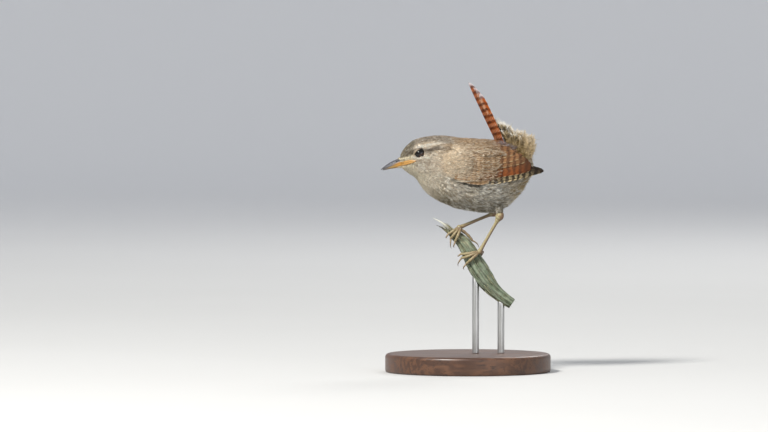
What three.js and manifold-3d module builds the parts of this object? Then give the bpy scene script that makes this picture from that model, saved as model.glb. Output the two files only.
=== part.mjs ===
// A wren perched on a broken stem, as a still, life-size model on a small display stand.
// Millimetres, +Z up. The bird faces -X and its left side faces -Y. The origin is the centre of
// the stand's underside.
import * as THREE from "three";
import { mergeVertices } from "three/addons/utils/BufferGeometryUtils.js";
import Module from "manifold-3d";

const wasm = await Module();
wasm.setup();

// Driving dimensions
const GAP = 0.3; // between neighbouring pieces
const VANE_THICK = 0.55; // of a feather in wing, tail and coverts
const BODY_STEPS = 36; // rings along head and body
const BODY_SIDES = 24; // points round each ring
const ROUNDNESS = 0.93; // 1 is an ellipse, less is squarer
const EYE_RADIUS = 2.5;
const EYE_DEPTH = 1.75; // of the eyeball's centre under the skin
const EYE_PLACE = [-21.4, 95.5];
const LID_RADIUS = 2.35;
const LID_THICK = 0.4;
const BILL_TIP = [-37.9, 88.0];
const TAIL_ROOT = [15.2, 95.7];
const TAIL_TIP = [0.9, 126.2];
const THIGH_RADIUS = 4.4; // where it leaves the body
const ANKLE_RADIUS = 1.8;
const TARSUS_RADIUS = 0.72;
const TOE_RADIUS = 0.62;
const CLAW_RADIUS = 0.42;
const PAD_RADIUS = 1.35; // of the foot where its toes meet
const STEM_SIDES = 15;
const STEM_STEPS = 22;
const ROD_RADIUS = 1.5;
const BASE_RADIUS = 36;
const BASE_HEIGHT = 8;
const BASE_CHAMFER = 1.5;

// Sections of head and body from bill to vent: the top and bottom of each in side view, its
// greatest half width, and how far up from its bottom it is widest.
const BODY = [
  { top: [-29.6, 93.1], bottom: [-28.7, 89.1], half: 2.1, widest: 0.5 },
  { top: [-28.0, 96.2], bottom: [-26.5, 87.4], half: 4.4, widest: 0.48 },
  { top: [-24.6, 99.8], bottom: [-23.6, 85.4], half: 6.3, widest: 0.46 },
  { top: [-19.8, 101.8], bottom: [-20.8, 83.3], half: 7.7, widest: 0.46 },
  { top: [-14.4, 102.6], bottom: [-17.6, 78.8], half: 8.6, widest: 0.46 },
  { top: [-9.0, 102.5], bottom: [-12.9, 74.6], half: 10.4, widest: 0.47 },
  { top: [-2.6, 101.7], bottom: [-5.4, 71.4], half: 12.4, widest: 0.48 },
  { top: [4.0, 101.4], bottom: [3.2, 69.9], half: 13.2, widest: 0.48 },
  { top: [10.4, 100.7], bottom: [10.4, 69.8], half: 12.7, widest: 0.48 },
  { top: [15.6, 99.2], bottom: [16.4, 73.4], half: 10.9, widest: 0.48 },
  { top: [20.3, 97.1], bottom: [21.3, 79.0], half: 8.0, widest: 0.5 },
  { top: [24.0, 94.6], bottom: [25.0, 84.6], half: 5.0, widest: 0.5 },
  { top: [26.2, 92.0], bottom: [26.8, 88.0], half: 2.2, widest: 0.5 },
];
// The thin cuts that part head from neck and neck from torso, each by its upper and lower end
const CUTS = [
  [[-12.5, 103], [-20.5, 79]],
  [[-4.0, 102], [-12.0, 73]],
];
// The closed wing lies on this envelope: centre height, half height and half width at each x
const WING_ENVELOPE = [
  { x: -14, centre: 88.2, high: 14.6, wide: 9.6 },
  { x: -6, centre: 87.0, high: 15.4, wide: 12.0 },
  { x: 4, centre: 86.0, high: 15.9, wide: 13.3 },
  { x: 12, centre: 86.2, high: 15.4, wide: 13.1 },
  { x: 20, centre: 87.5, high: 13.2, wide: 11.0 },
  { x: 28, centre: 88.7, high: 9.8, wide: 7.4 },
  { x: 36, centre: 88.6, high: 6.0, wide: 3.6 },
];
// Stem: its axis from the broken top to the cut, and its radius at distances along it
const STEM_AXIS = [
  [-8.3, 61.7],
  [-1.7, 55.8],
  [3.9, 46.1],
  [9.3, 37.9],
  [14.8, 32.6],
  [19.1, 29.6],
];
const STEM_RADII = [
  [0, 1.5],
  [3, 2.1],
  [9, 3.0],
  [15, 3.5],
  [21, 4.1],
  [28, 3.7],
  [35, 2.8],
  [44, 2.2],
];
// Outline of a feather: half width as a share of the whole at shares of its length
const LONG_VANE = [
  [0, 0.5],
  [0.3, 0.92],
  [0.7, 1],
  [0.92, 0.66],
  [1, 0.16],
];
const SHORT_VANE = [
  [0, 0.55],
  [0.45, 1],
  [0.82, 0.82],
  [1, 0.2],
];

const COLOURS = {
  crown: [0x8d7d6b, 0.9],
  throat: [0xb9ab95, 0.9],
  belly: [0xa89a86, 0.9],
  wing: [0x7b5b3f, 0.85],
  tail: [0x8f4d24, 0.8],
  coverts: [0xa79575, 0.9],
  bill_upper: [0x5d5f68, 0.45],
  bill_lower: [0xc9862f, 0.5],
  eye: [0x120d0b, 0.1],
  shank: [0xb48c74, 0.6],
  claw: [0x8b6f5a, 0.5],
  stem: [0x7c8573, 0.9],
  rod: [0x8f8f8d, 0.35],
  base: [0x3a2c22, 0.5],
};

function material(name) {
  const [color, roughness] = COLOURS[name];
  return new THREE.MeshStandardMaterial({ name, color, roughness, metalness: name === "rod" ? 1 : 0 });
}

const v3 = (x, y, z) => new THREE.Vector3(x, y, z);
const lerp = THREE.MathUtils.lerp;
const radians = THREE.MathUtils.degToRad;

// Value at x of a table of [x, value] rows, on a straight line between two rows
function along(table, x) {
  const last = table.length - 1;
  if (x <= table[0][0]) return table[0][1];
  if (x >= table[last][0]) return table[last][1];
  const i = table.findIndex((row) => row[0] > x) - 1;
  const share = (x - table[i][0]) / (table[i + 1][0] - table[i][0]);
  return lerp(table[i][1], table[i + 1][1], share);
}

// A closed geometry as a solid that joins and cuts
function solid(geometry) {
  const bare = new THREE.BufferGeometry();
  bare.setAttribute("position", geometry.getAttribute("position"));
  if (geometry.index) bare.setIndex(geometry.index);
  const merged = mergeVertices(bare, 1e-4);
  return fromArrays(merged.attributes.position.array, new Uint32Array(merged.index.array));
}

function fromArrays(vertProperties, triVerts) {
  const made = new wasm.Manifold(new wasm.Mesh({ numProp: 3, vertProperties, triVerts }));
  if (made.volume() > 0) return made;
  const turned = triVerts.slice();
  for (let i = 0; i < turned.length; i += 3) [turned[i + 1], turned[i + 2]] = [turned[i + 2], turned[i + 1]];
  return new wasm.Manifold(new wasm.Mesh({ numProp: 3, vertProperties, triVerts: turned }));
}

// The same solid on the bird's other side
function mirrored(made) {
  const mesh = made.getMesh();
  const turned = new Float32Array(mesh.vertProperties);
  for (let i = 1; i < turned.length; i += mesh.numProp) turned[i] *= -1;
  return fromArrays(turned, new Uint32Array(mesh.triVerts));
}

const join = (pieces) => pieces.reduce((all, piece) => all.add(piece));
const cut = (piece, ...cutters) => cutters.reduce((left, cutter) => left.subtract(cutter), piece);
const largest = (made) => made.decompose().sort((a, b) => b.volume() - a.volume())[0];

const model = new THREE.Group();

function addNode(name, made, materialName) {
  const mesh = largest(made).getMesh();
  const geometry = new THREE.BufferGeometry();
  geometry.setAttribute("position", new THREE.BufferAttribute(new Float32Array(mesh.vertProperties), 3));
  geometry.setIndex(new THREE.BufferAttribute(new Uint32Array(mesh.triVerts), 1));
  geometry.computeVertexNormals();
  const node = new THREE.Mesh(geometry, material(materialName));
  node.name = name;
  model.add(node);
}

// A closed surface over rings of points, with a flat fan at each end. Opposite sides of a thin
// ring of four are split along like diagonals.
function skinRings(rings) {
  const sides = rings[0].length;
  const positions = rings.flat().flatMap((p) => [p.x, p.y, p.z]);
  const index = [];
  for (let i = 0; i + 1 < rings.length; i++) {
    for (let j = 0; j < sides; j++) {
      const k = (j + 1) % sides;
      const [a, b, c, d] = [i * sides + j, i * sides + k, (i + 1) * sides + k, (i + 1) * sides + j];
      if (sides === 4 && j > 1) index.push(a, b, d, b, c, d);
      else index.push(a, b, c, a, c, d);
    }
  }
  [rings[0], rings.at(-1)].forEach((ring, end) => {
    const centre = positions.length / 3;
    const middle = ring.reduce((sum, p) => sum.add(p), v3(0, 0, 0)).divideScalar(sides);
    positions.push(middle.x, middle.y, middle.z);
    const first = end ? (rings.length - 1) * sides : 0;
    for (let j = 0; j < sides; j++) {
      const pair = [first + j, first + ((j + 1) % sides)];
      index.push(centre, ...(end ? pair : pair.reverse()));
    }
  });
  const geometry = new THREE.BufferGeometry();
  geometry.setAttribute("position", new THREE.Float32BufferAttribute(positions, 3));
  geometry.setIndex(index);
  return geometry;
}

// A round bar along a smooth path through points, with its radius as a function of the share.
// A grown bar is wider and longer all round, to cut a neighbour clear of it.
function tube(points, radius, sides, steps, grow = 0) {
  const curve = new THREE.CatmullRomCurve3(points);
  const frames = curve.computeFrenetFrames(steps);
  const rings = [];
  for (let i = 0; i <= steps; i++) {
    const past = i === 0 ? -grow : i === steps ? grow : 0;
    const centre = curve.getPointAt(i / steps).addScaledVector(frames.tangents[i], past);
    const reach = radius(i / steps) + grow;
    const ring = [];
    for (let j = 0; j < sides; j++) {
      const turn = (2 * Math.PI * j) / sides;
      ring.push(
        centre
          .clone()
          .addScaledVector(frames.normals[i], reach * Math.cos(turn))
          .addScaledVector(frames.binormals[i], reach * Math.sin(turn)),
      );
    }
    rings.push(ring);
  }
  return solid(skinRings(rings));
}

function ball(centre, radius, across = 14, down = 9) {
  const geometry = new THREE.SphereGeometry(radius, across, down);
  return solid(geometry.translate(centre.x, centre.y, centre.z));
}

// A feather on a surface: root and tip are [along, across] there. Its upper edge dips and its
// lower edge rises by roll for each millimetre across, so that neighbours lie like tiles.
function vane(surface, root, tip, width, options = {}) {
  const { outline = LONG_VANE, roll = 0, lift = 0, height = 0, bend = 0, grow = 0 } = options;
  const start = new THREE.Vector2(...root);
  const run = new THREE.Vector2(...tip).sub(start);
  const side = new THREE.Vector2(-run.y, run.x).normalize();
  const thick = VANE_THICK / 2 + grow;
  const rings = outline.map(([share, wide]) => {
    const middle = start
      .clone()
      .addScaledVector(run, share)
      .addScaledVector(side, bend * 4 * share * (1 - share));
    const half = (width / 2) * wide + grow;
    return [
      [-half, -thick],
      [-half, thick],
      [half, thick],
      [half, -thick],
    ].map(([w, h]) => {
      const p = middle.clone().addScaledVector(side, w);
      return surface(p.x, p.y, height + lift * share + h - roll * w);
    });
  });
  return solid(skinRings(rings));
}

// Head, neck and torso as one smooth form
function bodyGeometry(grow) {
  const curve = (pick) => new THREE.CatmullRomCurve3(BODY.map(pick), false, "catmullrom", 0.5);
  const top = curve((s) => v3(s.top[0], 0, s.top[1]));
  const bottom = curve((s) => v3(s.bottom[0], 0, s.bottom[1]));
  const side = curve((s) => v3(s.half, s.widest, 0));
  const shaped = (value) => Math.sign(value) * Math.abs(value) ** ROUNDNESS;
  const rings = [];
  for (let i = 0; i <= BODY_STEPS; i++) {
    const share = i / BODY_STEPS;
    const high = top.getPoint(share);
    const low = bottom.getPoint(share);
    const { x: half, y: widest } = side.getPoint(share);
    const up = high.clone().sub(low).normalize();
    high.addScaledVector(up, grow);
    low.addScaledVector(up, -grow);
    const ring = [];
    for (let j = 0; j < BODY_SIDES; j++) {
      const turn = (2 * Math.PI * j) / BODY_SIDES;
      const rise = shaped(Math.sin(turn));
      const share2 = widest + rise * (rise > 0 ? 1 - widest : widest);
      const point = low.clone().lerp(high, share2);
      point.y = (half + grow) * shaped(Math.cos(turn));
      ring.push(point);
    }
    rings.push(ring);
  }
  const reach = v3(grow, 0, 0);
  rings[0].forEach((p) => p.sub(reach));
  rings.at(-1).forEach((p) => p.add(reach));
  return skinRings(rings);
}

const bodyMesh = new THREE.Mesh(bodyGeometry(0), new THREE.MeshBasicMaterial({ side: THREE.DoubleSide }));
const ray = new THREE.Raycaster();

// Where the body's left side meets a line along Y through x and z
function skinAt(x, z) {
  ray.set(v3(x, -60, z), v3(0, 1, 0));
  const hit = ray.intersectObject(bodyMesh)[0];
  const normal = hit.face.normal.clone();
  return { point: hit.point, normal: normal.y > 0 ? normal.negate() : normal };
}

// A thin slab through two points of the side view
function slab([a, b]) {
  const geometry = new THREE.BoxGeometry(GAP, 80, 80);
  geometry.rotateY(Math.atan2(a[0] - b[0], a[1] - b[1]));
  return solid(geometry.translate((a[0] + b[0]) / 2, 0, (a[1] + b[1]) / 2));
}

function eyes() {
  const { point, normal } = skinAt(...EYE_PLACE);
  const centre = point.clone().addScaledVector(normal, -EYE_DEPTH);
  const lid = new THREE.TorusGeometry(LID_RADIUS, LID_THICK, 5, 14);
  lid.applyQuaternion(new THREE.Quaternion().setFromUnitVectors(v3(0, 0, 1), normal));
  lid.translate(point.x, point.y, point.z);
  return { ball: ball(centre, EYE_RADIUS), socket: ball(centre, EYE_RADIUS + GAP), lid: solid(lid) };
}

// Bill: rings along it, each with a ridge line, an edge line and a half width
function mandible(stations, ridgeUp) {
  const rings = stations.map(({ x, ridge, edge, half }) => {
    const ring = [];
    for (let j = 0; j <= 6; j++) {
      const turn = (Math.PI * j) / 6;
      ring.push(v3(x, half * Math.cos(turn), lerp(edge, ridge, Math.sin(turn) ** 0.8)));
    }
    return ridgeUp ? ring : ring.reverse();
  });
  return solid(skinRings(rings));
}

function bill() {
  const upper = mandible(
    [
      { x: -28.4, ridge: 93.4, edge: 91.45, half: 1.75 },
      { x: -30.0, ridge: 92.85, edge: 90.75, half: 1.6 },
      { x: -32.0, ridge: 92.05, edge: 90.0, half: 1.3 },
      { x: -34.0, ridge: 91.0, edge: 89.35, half: 0.95 },
      { x: -36.2, ridge: 89.5, edge: 88.55, half: 0.55 },
      { x: BILL_TIP[0], ridge: BILL_TIP[1] + 0.1, edge: BILL_TIP[1] - 0.2, half: 0.15 },
    ],
    true,
  );
  const lower = mandible(
    [
      { x: -28.2, ridge: 89.4, edge: 91.0, half: 1.6 },
      { x: -30.0, ridge: 89.0, edge: 90.4, half: 1.45 },
      { x: -32.0, ridge: 88.55, edge: 89.65, half: 1.1 },
      { x: -34.0, ridge: 88.25, edge: 89.0, half: 0.75 },
      { x: -36.4, ridge: 87.75, edge: 88.15, half: 0.3 },
    ],
    false,
  );
  const nostril = new THREE.SphereGeometry(0.4, 8, 6).scale(1.5, 1, 0.7);
  const pit = solid(nostril.translate(-30.7, -1.25, 91.6));
  return { upper: cut(upper, pit, mirrored(pit)), lower };
}

// The fleshy corner of the mouth, with the mouth's line as a groove
function gapeCorner() {
  const path = [
    [-29.4, 90.2],
    [-27.5, 90.75],
    [-25.2, 91.4],
    [-22.7, 91.9],
  ];
  const on = (inset) =>
    path.map(([x, z]) => {
      const { point, normal } = skinAt(Math.max(x, -28.6), z);
      return point.clone().setX(x).addScaledVector(normal, inset);
    });
  const lip = tube(on(0.1), (t) => 1.0 - 0.55 * t ** 2, 7, 6);
  const groove = tube(on(0.95), (t) => 0.34 - 0.08 * t, 4, 6);
  return cut(lip, groove);
}

// A point on the closed wing's envelope: x, arc up from its side, and height above it
function wingSurface(x, arc, height) {
  const row = (key) => along(WING_ENVELOPE.map((s) => [s.x, s[key]]), x);
  const [centre, high, wide] = [row("centre"), row("high"), row("wide")];
  const turn = arc / high;
  const normal = v3(0, -Math.cos(turn) / wide, Math.sin(turn) / high).normalize();
  return v3(x, -wide * Math.cos(turn), centre + high * Math.sin(turn)).addScaledVector(normal, height);
}

// The arc on the wing's envelope of a height z at x
function arcAt(x, z) {
  const row = (key) => along(WING_ENVELOPE.map((s) => [s.x, s[key]]), x);
  return row("high") * Math.asin(THREE.MathUtils.clamp((z - row("centre")) / row("high"), -0.97, 0.97));
}

// A tier of wing feathers from its lowest to its highest, by the side-view places of the roots
// and tips of the two ends, with the tips' bow outwards between them
function wingTier({ count, roots, tips, bow = 0, width, ...options }) {
  const feathers = [];
  for (let i = 0; i < count; i++) {
    const share = count > 1 ? i / (count - 1) : 0;
    const root = [0, 1].map((k) => lerp(roots[0][k], roots[1][k], share));
    const tip = [0, 1].map((k) => lerp(tips[0][k], tips[1][k], share));
    tip[0] += bow * 4 * share * (1 - share);
    const flat = (p) => [p[0], arcAt(...p)];
    const wide = lerp(width[0], width[1], share);
    feathers.push(vane(wingSurface, flat(root), flat(tip), wide, options));
  }
  return feathers;
}

function shoulderPad() {
  const rings = [];
  const [front, back, low, high] = [-9.5, 9.5, 83.6, 97.2];
  const steps = 10;
  for (let i = 0; i <= steps; i++) {
    const share = i / steps;
    const x = lerp(front, back, share);
    const round = Math.sqrt(Math.max(0.03, 1 - (2 * share - 1) ** 2));
    const middle = lerp((low + high) / 2 + 1, (low + high) / 2 - 0.5, share);
    const reach = ((high - low) / 2) * round;
    const [a, b] = [arcAt(x, middle - reach), arcAt(x, middle + reach)];
    const ring = [];
    for (let j = 0; j <= 6; j++) {
      const s = j / 6;
      ring.push(wingSurface(x, lerp(a, b, s), -0.3 + 1.25 * Math.sin(Math.PI * s) ** 0.7 * round));
    }
    for (let j = 6; j >= 0; j--) ring.push(wingSurface(x, lerp(a, b, j / 6), -0.9));
    rings.push(ring);
  }
  return solid(skinRings(rings));
}

function wing() {
  const tile = { roll: 0.16 };
  return join([
    shoulderPad(),
    ...wingTier({
      count: 6,
      roots: [[1.5, 82.9], [4.5, 86.0]],
      tips: [[25.5, 86.0], [30.0, 90.4]],
      bow: 4.6,
      width: [3.2, 4.0],
      height: 0.0,
      ...tile,
    }),
    ...wingTier({
      count: 5,
      roots: [[2.5, 86.2], [3.5, 90.2]],
      tips: [[28.2, 90.0], [25.4, 93.2]],
      width: [3.8, 4.2],
      height: 0.25,
      ...tile,
    }),
    ...wingTier({
      count: 3,
      roots: [[3.5, 90.5], [2.5, 95.6]],
      tips: [[24.6, 93.6], [18.6, 98.0]],
      width: [5.0, 5.6],
      height: 0.45,
      ...tile,
    }),
    ...wingTier({
      count: 3,
      roots: [[-4.5, 84.2], [-2.0, 86.4]],
      tips: [[8.5, 82.7], [10.2, 85.0]],
      width: [2.8, 3.2],
      height: 0.45,
      lift: 0.15,
      outline: SHORT_VANE,
      ...tile,
    }),
    ...wingTier({
      count: 6,
      roots: [[-3.0, 85.6], [-1.0, 95.6]],
      tips: [[11.0, 86.0], [12.6, 95.4]],
      bow: 1.2,
      width: [3.4, 3.8],
      height: 0.55,
      lift: 0.35,
      outline: SHORT_VANE,
      ...tile,
    }),
    ...wingTier({
      count: 5,
      roots: [[-6.0, 86.0], [-4.5, 96.2]],
      tips: [[3.0, 86.4], [5.0, 96.2]],
      bow: 0.8,
      width: [3.6, 4.0],
      height: 0.75,
      lift: 0.35,
      outline: SHORT_VANE,
      ...tile,
    }),
  ]);
}

// The cocked tail: six pairs of feathers folded like a roof, the middle pair in front
function tail(grow) {
  const axis = v3(TAIL_TIP[0] - TAIL_ROOT[0], 0, TAIL_TIP[1] - TAIL_ROOT[1]);
  const full = axis.length();
  axis.normalize();
  const back = v3(-axis.z, 0, axis.x); // faces the head
  const surface = (run, across, height) =>
    v3(TAIL_ROOT[0], across, TAIL_ROOT[1]).addScaledVector(axis, run).addScaledVector(back, height);
  const shorter = [0, 0.5, 1.6, 3.2, 5.2, 7.6];
  const feathers = [];
  shorter.forEach((less, i) => {
    const spread = radians(1.2 + 1.75 * i);
    const length = full - less;
    const root = [0, 0.35 + 0.3 * i];
    const tip = [length * Math.cos(spread), root[1] + length * Math.sin(spread)];
    const options = { height: 0.9 - 0.5 * i, roll: 0.2, grow, bend: -0.3 };
    const one = vane(surface, root, tip, 4.6 - 0.14 * i, options);
    feathers.push(one, mirrored(one));
  });
  return join(feathers);
}

// Loose feathers under the tail, in rows from the tail's foot to the vent, each row a third
// turned against the next so that no bare line shows between them
function undertail() {
  const roots = [[16.6, 97.6], [23.6, 90.6]];
  const tips = [
    [9.4, 112.6],
    [13.2, 109.4],
    [17.4, 106.6],
    [21.8, 104.4],
    [26.2, 102.6],
    [28.2, 99.8],
    [27.4, 96.0],
  ];
  const draw = seeded(7);
  const feathers = [];
  tips.forEach((tip, row) => {
    const share = row / (tips.length - 1);
    const root = [0, 1].map((k) => lerp(roots[0][k], roots[1][k], share));
    const columns = row === 0 ? [0] : row % 2 ? [-1, 1] : [-2, 0, 2];
    columns.forEach((column) => {
      const y = column * lerp(1.3, 2.0, share);
      const drop = Math.abs(column) * 0.8 + draw() * 0.6;
      const to = v3(tip[0] - 0.2 * drop, y * 1.15 + (draw() - 0.5) * 0.6, tip[1] - drop);
      feathers.push(blade(v3(root[0], y, root[1]), to, v3(0.8, column * 0.25, 0.5), 5.0, 0.7));
    });
  });
  const core = tube(
    [v3(23.4, 0, 91), v3(21.6, 0, 97), v3(17.4, 0, 102), v3(13.2, 0, 106.4)],
    (t) => lerp(4.8, 1.2, t),
    9,
    6,
  );
  return join([core, ...feathers]);
}

// A free feather between two points, facing out along a direction and bowed that way
function blade(from, to, outward, width, bow) {
  const axis = to.clone().sub(from);
  const length = axis.length();
  axis.normalize();
  const face = outward.clone().addScaledVector(axis, -outward.dot(axis)).normalize();
  const side = face.clone().cross(axis);
  const surface = (run, across, height) =>
    from
      .clone()
      .addScaledVector(axis, run)
      .addScaledVector(side, across)
      .addScaledVector(face, height + (bow * 4 * run * (length - run)) / length ** 2);
  return vane(surface, [0, 0], [length, 0], width, { outline: SHORT_VANE });
}

// A repeatable run of numbers from 0 to 1
function seeded(seed) {
  let state = seed;
  return () => {
    state = (state * 1664525 + 1013904223) % 4294967296;
    return state / 4294967296;
  };
}

// Stem, as a curve in the plane of the bird
const stemCurve = new THREE.CatmullRomCurve3(STEM_AXIS.map(([x, z]) => v3(x, 0, z)));
const stemLength = stemCurve.getLength();

// A point by distance along the stem, turn round it (0 is its upper side, 90 the bird's left)
// and distance from its axis
function onStem(distance, turn, reach) {
  const share = THREE.MathUtils.clamp(distance / stemLength, 0, 1);
  const heading = stemCurve.getTangentAt(share);
  const upper = v3(-heading.z, 0, heading.x);
  if (upper.z < 0) upper.negate();
  return stemCurve
    .getPointAt(share)
    .addScaledVector(heading, distance - share * stemLength)
    .addScaledVector(upper, reach * Math.cos(radians(turn)))
    .addScaledVector(v3(0, -1, 0), reach * Math.sin(radians(turn)));
}

function stem(grow) {
  const ridges = (turn, distance) =>
    0.05 * Math.cos(5 * turn + 0.06 * distance) + 0.035 * Math.cos(9 * turn + 1.1 - 0.1 * distance);
  const rings = [];
  for (let i = 0; i <= STEM_STEPS; i++) {
    const distance = (stemLength * i) / STEM_STEPS;
    const ring = [];
    for (let j = 0; j < STEM_SIDES; j++) {
      const turn = (2 * Math.PI * j) / STEM_SIDES;
      const reach = along(STEM_RADII, distance) * (1 + ridges(turn, distance)) + grow;
      ring.push(onStem(distance + (i === 0 ? -grow : i === STEM_STEPS ? grow : 0), (turn * 180) / Math.PI, reach));
    }
    rings.push(ring);
  }
  return solid(skinRings(rings));
}

function splinter(turn, reach, far, radius) {
  const from = onStem(1.8, turn, reach);
  return tube([from, from.clone().lerp(far, 0.5), far], (t) => radius * (1 - 0.8 * t), 5, 4);
}

function perch() {
  return join([
    stem(0),
    splinter(60, 0.7, v3(-15.4, -1.0, 67.1), 0.5),
    splinter(150, 0.8, v3(-13.7, -1.4, 63.9), 0.45),
    splinter(-60, 0.8, v3(-10.6, 0.9, 64.4), 0.55),
  ]);
}

// One foot: where its heel is along and round the stem, and for each toe its end there, and its
// claw's tip with its distance off the stem's surface
const FEET = {
  left: {
    heel: [15.0, 40],
    ankle: v3(13.7, -5.8, 67.8),
    thigh: v3(11.2, -6.4, 78.5),
    toes: [
      { end: [12.0, 146], claw: [12.6, 196, 1.2] },
      { end: [13.8, 160], claw: [16.6, 190, 3.3] },
      { end: [17.0, 138], claw: [18.8, 186, 1.2] },
      { end: [17.6, -78], claw: [18.4, -136, 0.9] },
    ],
  },
  right: {
    heel: [3.0, -14],
    ankle: v3(11.4, 6.8, 68.9),
    thigh: v3(10.8, 6.6, 78.5),
    toes: [
      { end: [0.8, 122], claw: [1.4, 192, 1.2] },
      { end: [2.8, 142], claw: [6.4, 172, 2.7] },
      { end: [5.2, 126], claw: [7.2, 184, 1.1] },
      { end: [9.8, -24], claw: [13.8, -20, 1.0] },
    ],
  },
};

// The stem's radius where a foot lies on it, over its ridges
const gripRadius = (distance) => along(STEM_RADII, distance) * 1.09;

function heelPoint(foot) {
  const [distance, turn] = foot.heel;
  return onStem(distance, turn, gripRadius(distance) + GAP + PAD_RADIUS - 0.1);
}

// The path of a toe or claw round the stem, from one distance off its surface to another, with
// an arch between them
function wrap(from, to, off, arch, steps = 5) {
  const points = [];
  for (let i = 0; i <= steps; i++) {
    const share = i / steps;
    const distance = lerp(from[0], to[0], share);
    const reach = gripRadius(distance) + lerp(off[0], off[1], share) + arch * Math.sin(Math.PI * share);
    points.push(onStem(distance, lerp(from[1], to[1], share), reach));
  }
  return points;
}

function leg(side) {
  const foot = FEET[side];
  const heel = heelPoint(foot);
  const above = foot.ankle.clone().add(v3(0, 0, 1.4));
  const thighRadius = (t) => lerp(THIGH_RADIUS, ANKLE_RADIUS - 0.1, t ** 1.3);
  const thigh = (grow) => tube([foot.thigh, foot.thigh.clone().lerp(above, 0.55), above], thighRadius, 12, 7, grow);
  const sole = heel.clone().add(foot.ankle.clone().sub(heel).setLength(PAD_RADIUS));
  const shankPath = [foot.ankle.clone().add(v3(-0.2, 0, 1.2)), foot.ankle, foot.ankle.clone().lerp(sole, 0.5), sole];
  const knob = (t) => (ANKLE_RADIUS - TARSUS_RADIUS) * Math.exp(-(((t - 0.1) / 0.1) ** 2));
  const shank = (grow) => tube(shankPath, (t) => TARSUS_RADIUS + knob(t) + 0.25 * t ** 6, 8, 12, grow);
  const toePad = (t) => TOE_RADIUS * (1 - 0.22 * t + 0.1 * Math.cos(6 * Math.PI * t));
  const rest = GAP + TOE_RADIUS; // a toe's axis off the stem
  const toes = (grow) =>
    foot.toes.map(({ end }) => tube(wrap(foot.heel, end, [rest + 0.4, rest], 0.1), toePad, 6, 6, grow));
  const claws = foot.toes.map(({ end, claw }) => {
    const path = wrap(end, claw, [rest - 0.1, claw[2]], 0.7, 4);
    return cut(tube(path, (t) => CLAW_RADIUS * (1 - 0.75 * t), 6, 5), ...toes(GAP), stem(GAP));
  });
  return {
    thigh: cut(thigh(0), grownBody),
    shank: cut(shank(0), thigh(GAP), grownBody),
    foot: cut(join([ball(heel, PAD_RADIUS, 9, 6), ...toes(0)]), shank(GAP), stem(GAP)),
    claws,
  };
}

function stand() {
  const profile = [
    [0, 0],
    [BASE_RADIUS, 0],
    [BASE_RADIUS, BASE_HEIGHT - BASE_CHAMFER],
    [BASE_RADIUS - BASE_CHAMFER, BASE_HEIGHT],
    [0, BASE_HEIGHT],
  ].map(([x, y]) => new THREE.Vector2(x, y));
  const base = new THREE.LatheGeometry(profile, 40).rotateX(Math.PI / 2);
  return solid(base);
}

function rod(distance) {
  const top = onStem(distance, 180, 0);
  const foot = BASE_HEIGHT + GAP;
  const geometry = new THREE.CylinderGeometry(ROD_RADIUS, ROD_RADIUS, top.z - foot, 16).rotateX(Math.PI / 2);
  return cut(solid(geometry.translate(top.x, 0, (top.z + foot) / 2)), stem(GAP));
}

// Assembly
const grownBody = solid(bodyGeometry(GAP));
const eye = eyes();
const { upper, lower } = bill();
const gape = cut(gapeCorner(), grownBody);
let whole = join([solid(bodyGeometry(0)), eye.lid, mirrored(eye.lid)]);
whole = cut(whole, eye.socket, mirrored(eye.socket), ...CUTS.map(slab));
const [head, neck, torso] = whole
  .decompose()
  .filter((made) => made.volume() > 100)
  .sort((a, b) => a.boundingBox().min[0] - b.boundingBox().min[0]);
addNode("head", head, "crown");
addNode("neck", neck, "throat");
addNode("torso", torso, "belly");
addNode("bill_upper", cut(upper, grownBody), "bill_upper");
addNode("bill_lower", cut(lower, grownBody), "bill_lower");

const leftWing = cut(wing(), grownBody);
const sides = [
  ["left", (made) => made],
  ["right", mirrored],
];
for (const [side, place] of sides) {
  addNode(`eye_${side}`, place(eye.ball), "eye");
  addNode(`gape_${side}`, place(gape), "bill_lower");
  addNode(`wing_${side}`, place(leftWing), "wing");
}
addNode("tail", cut(tail(0), grownBody), "tail");
addNode("undertail_coverts", cut(undertail(), grownBody, tail(GAP)), "coverts");

for (const side of ["left", "right"]) {
  const made = leg(side);
  addNode(`thigh_${side}`, made.thigh, "belly");
  addNode(`shank_${side}`, made.shank, "shank");
  addNode(`foot_${side}`, made.foot, "shank");
  made.claws.forEach((claw, i) => addNode(`claw_${side}_${i + 1}`, claw, "claw"));
}

addNode("perch_stem", perch(), "stem");
addNode("stand_rod_front", rod(19), "rod");
addNode("stand_rod_back", rod(37), "rod");
addNode("stand_base", stand(), "base");

export default model;
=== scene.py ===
import math
import bmesh
import bpy
import numpy as np
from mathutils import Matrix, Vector
from mathutils.bvhtree import BVHTree
from numpy.random import default_rng


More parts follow.
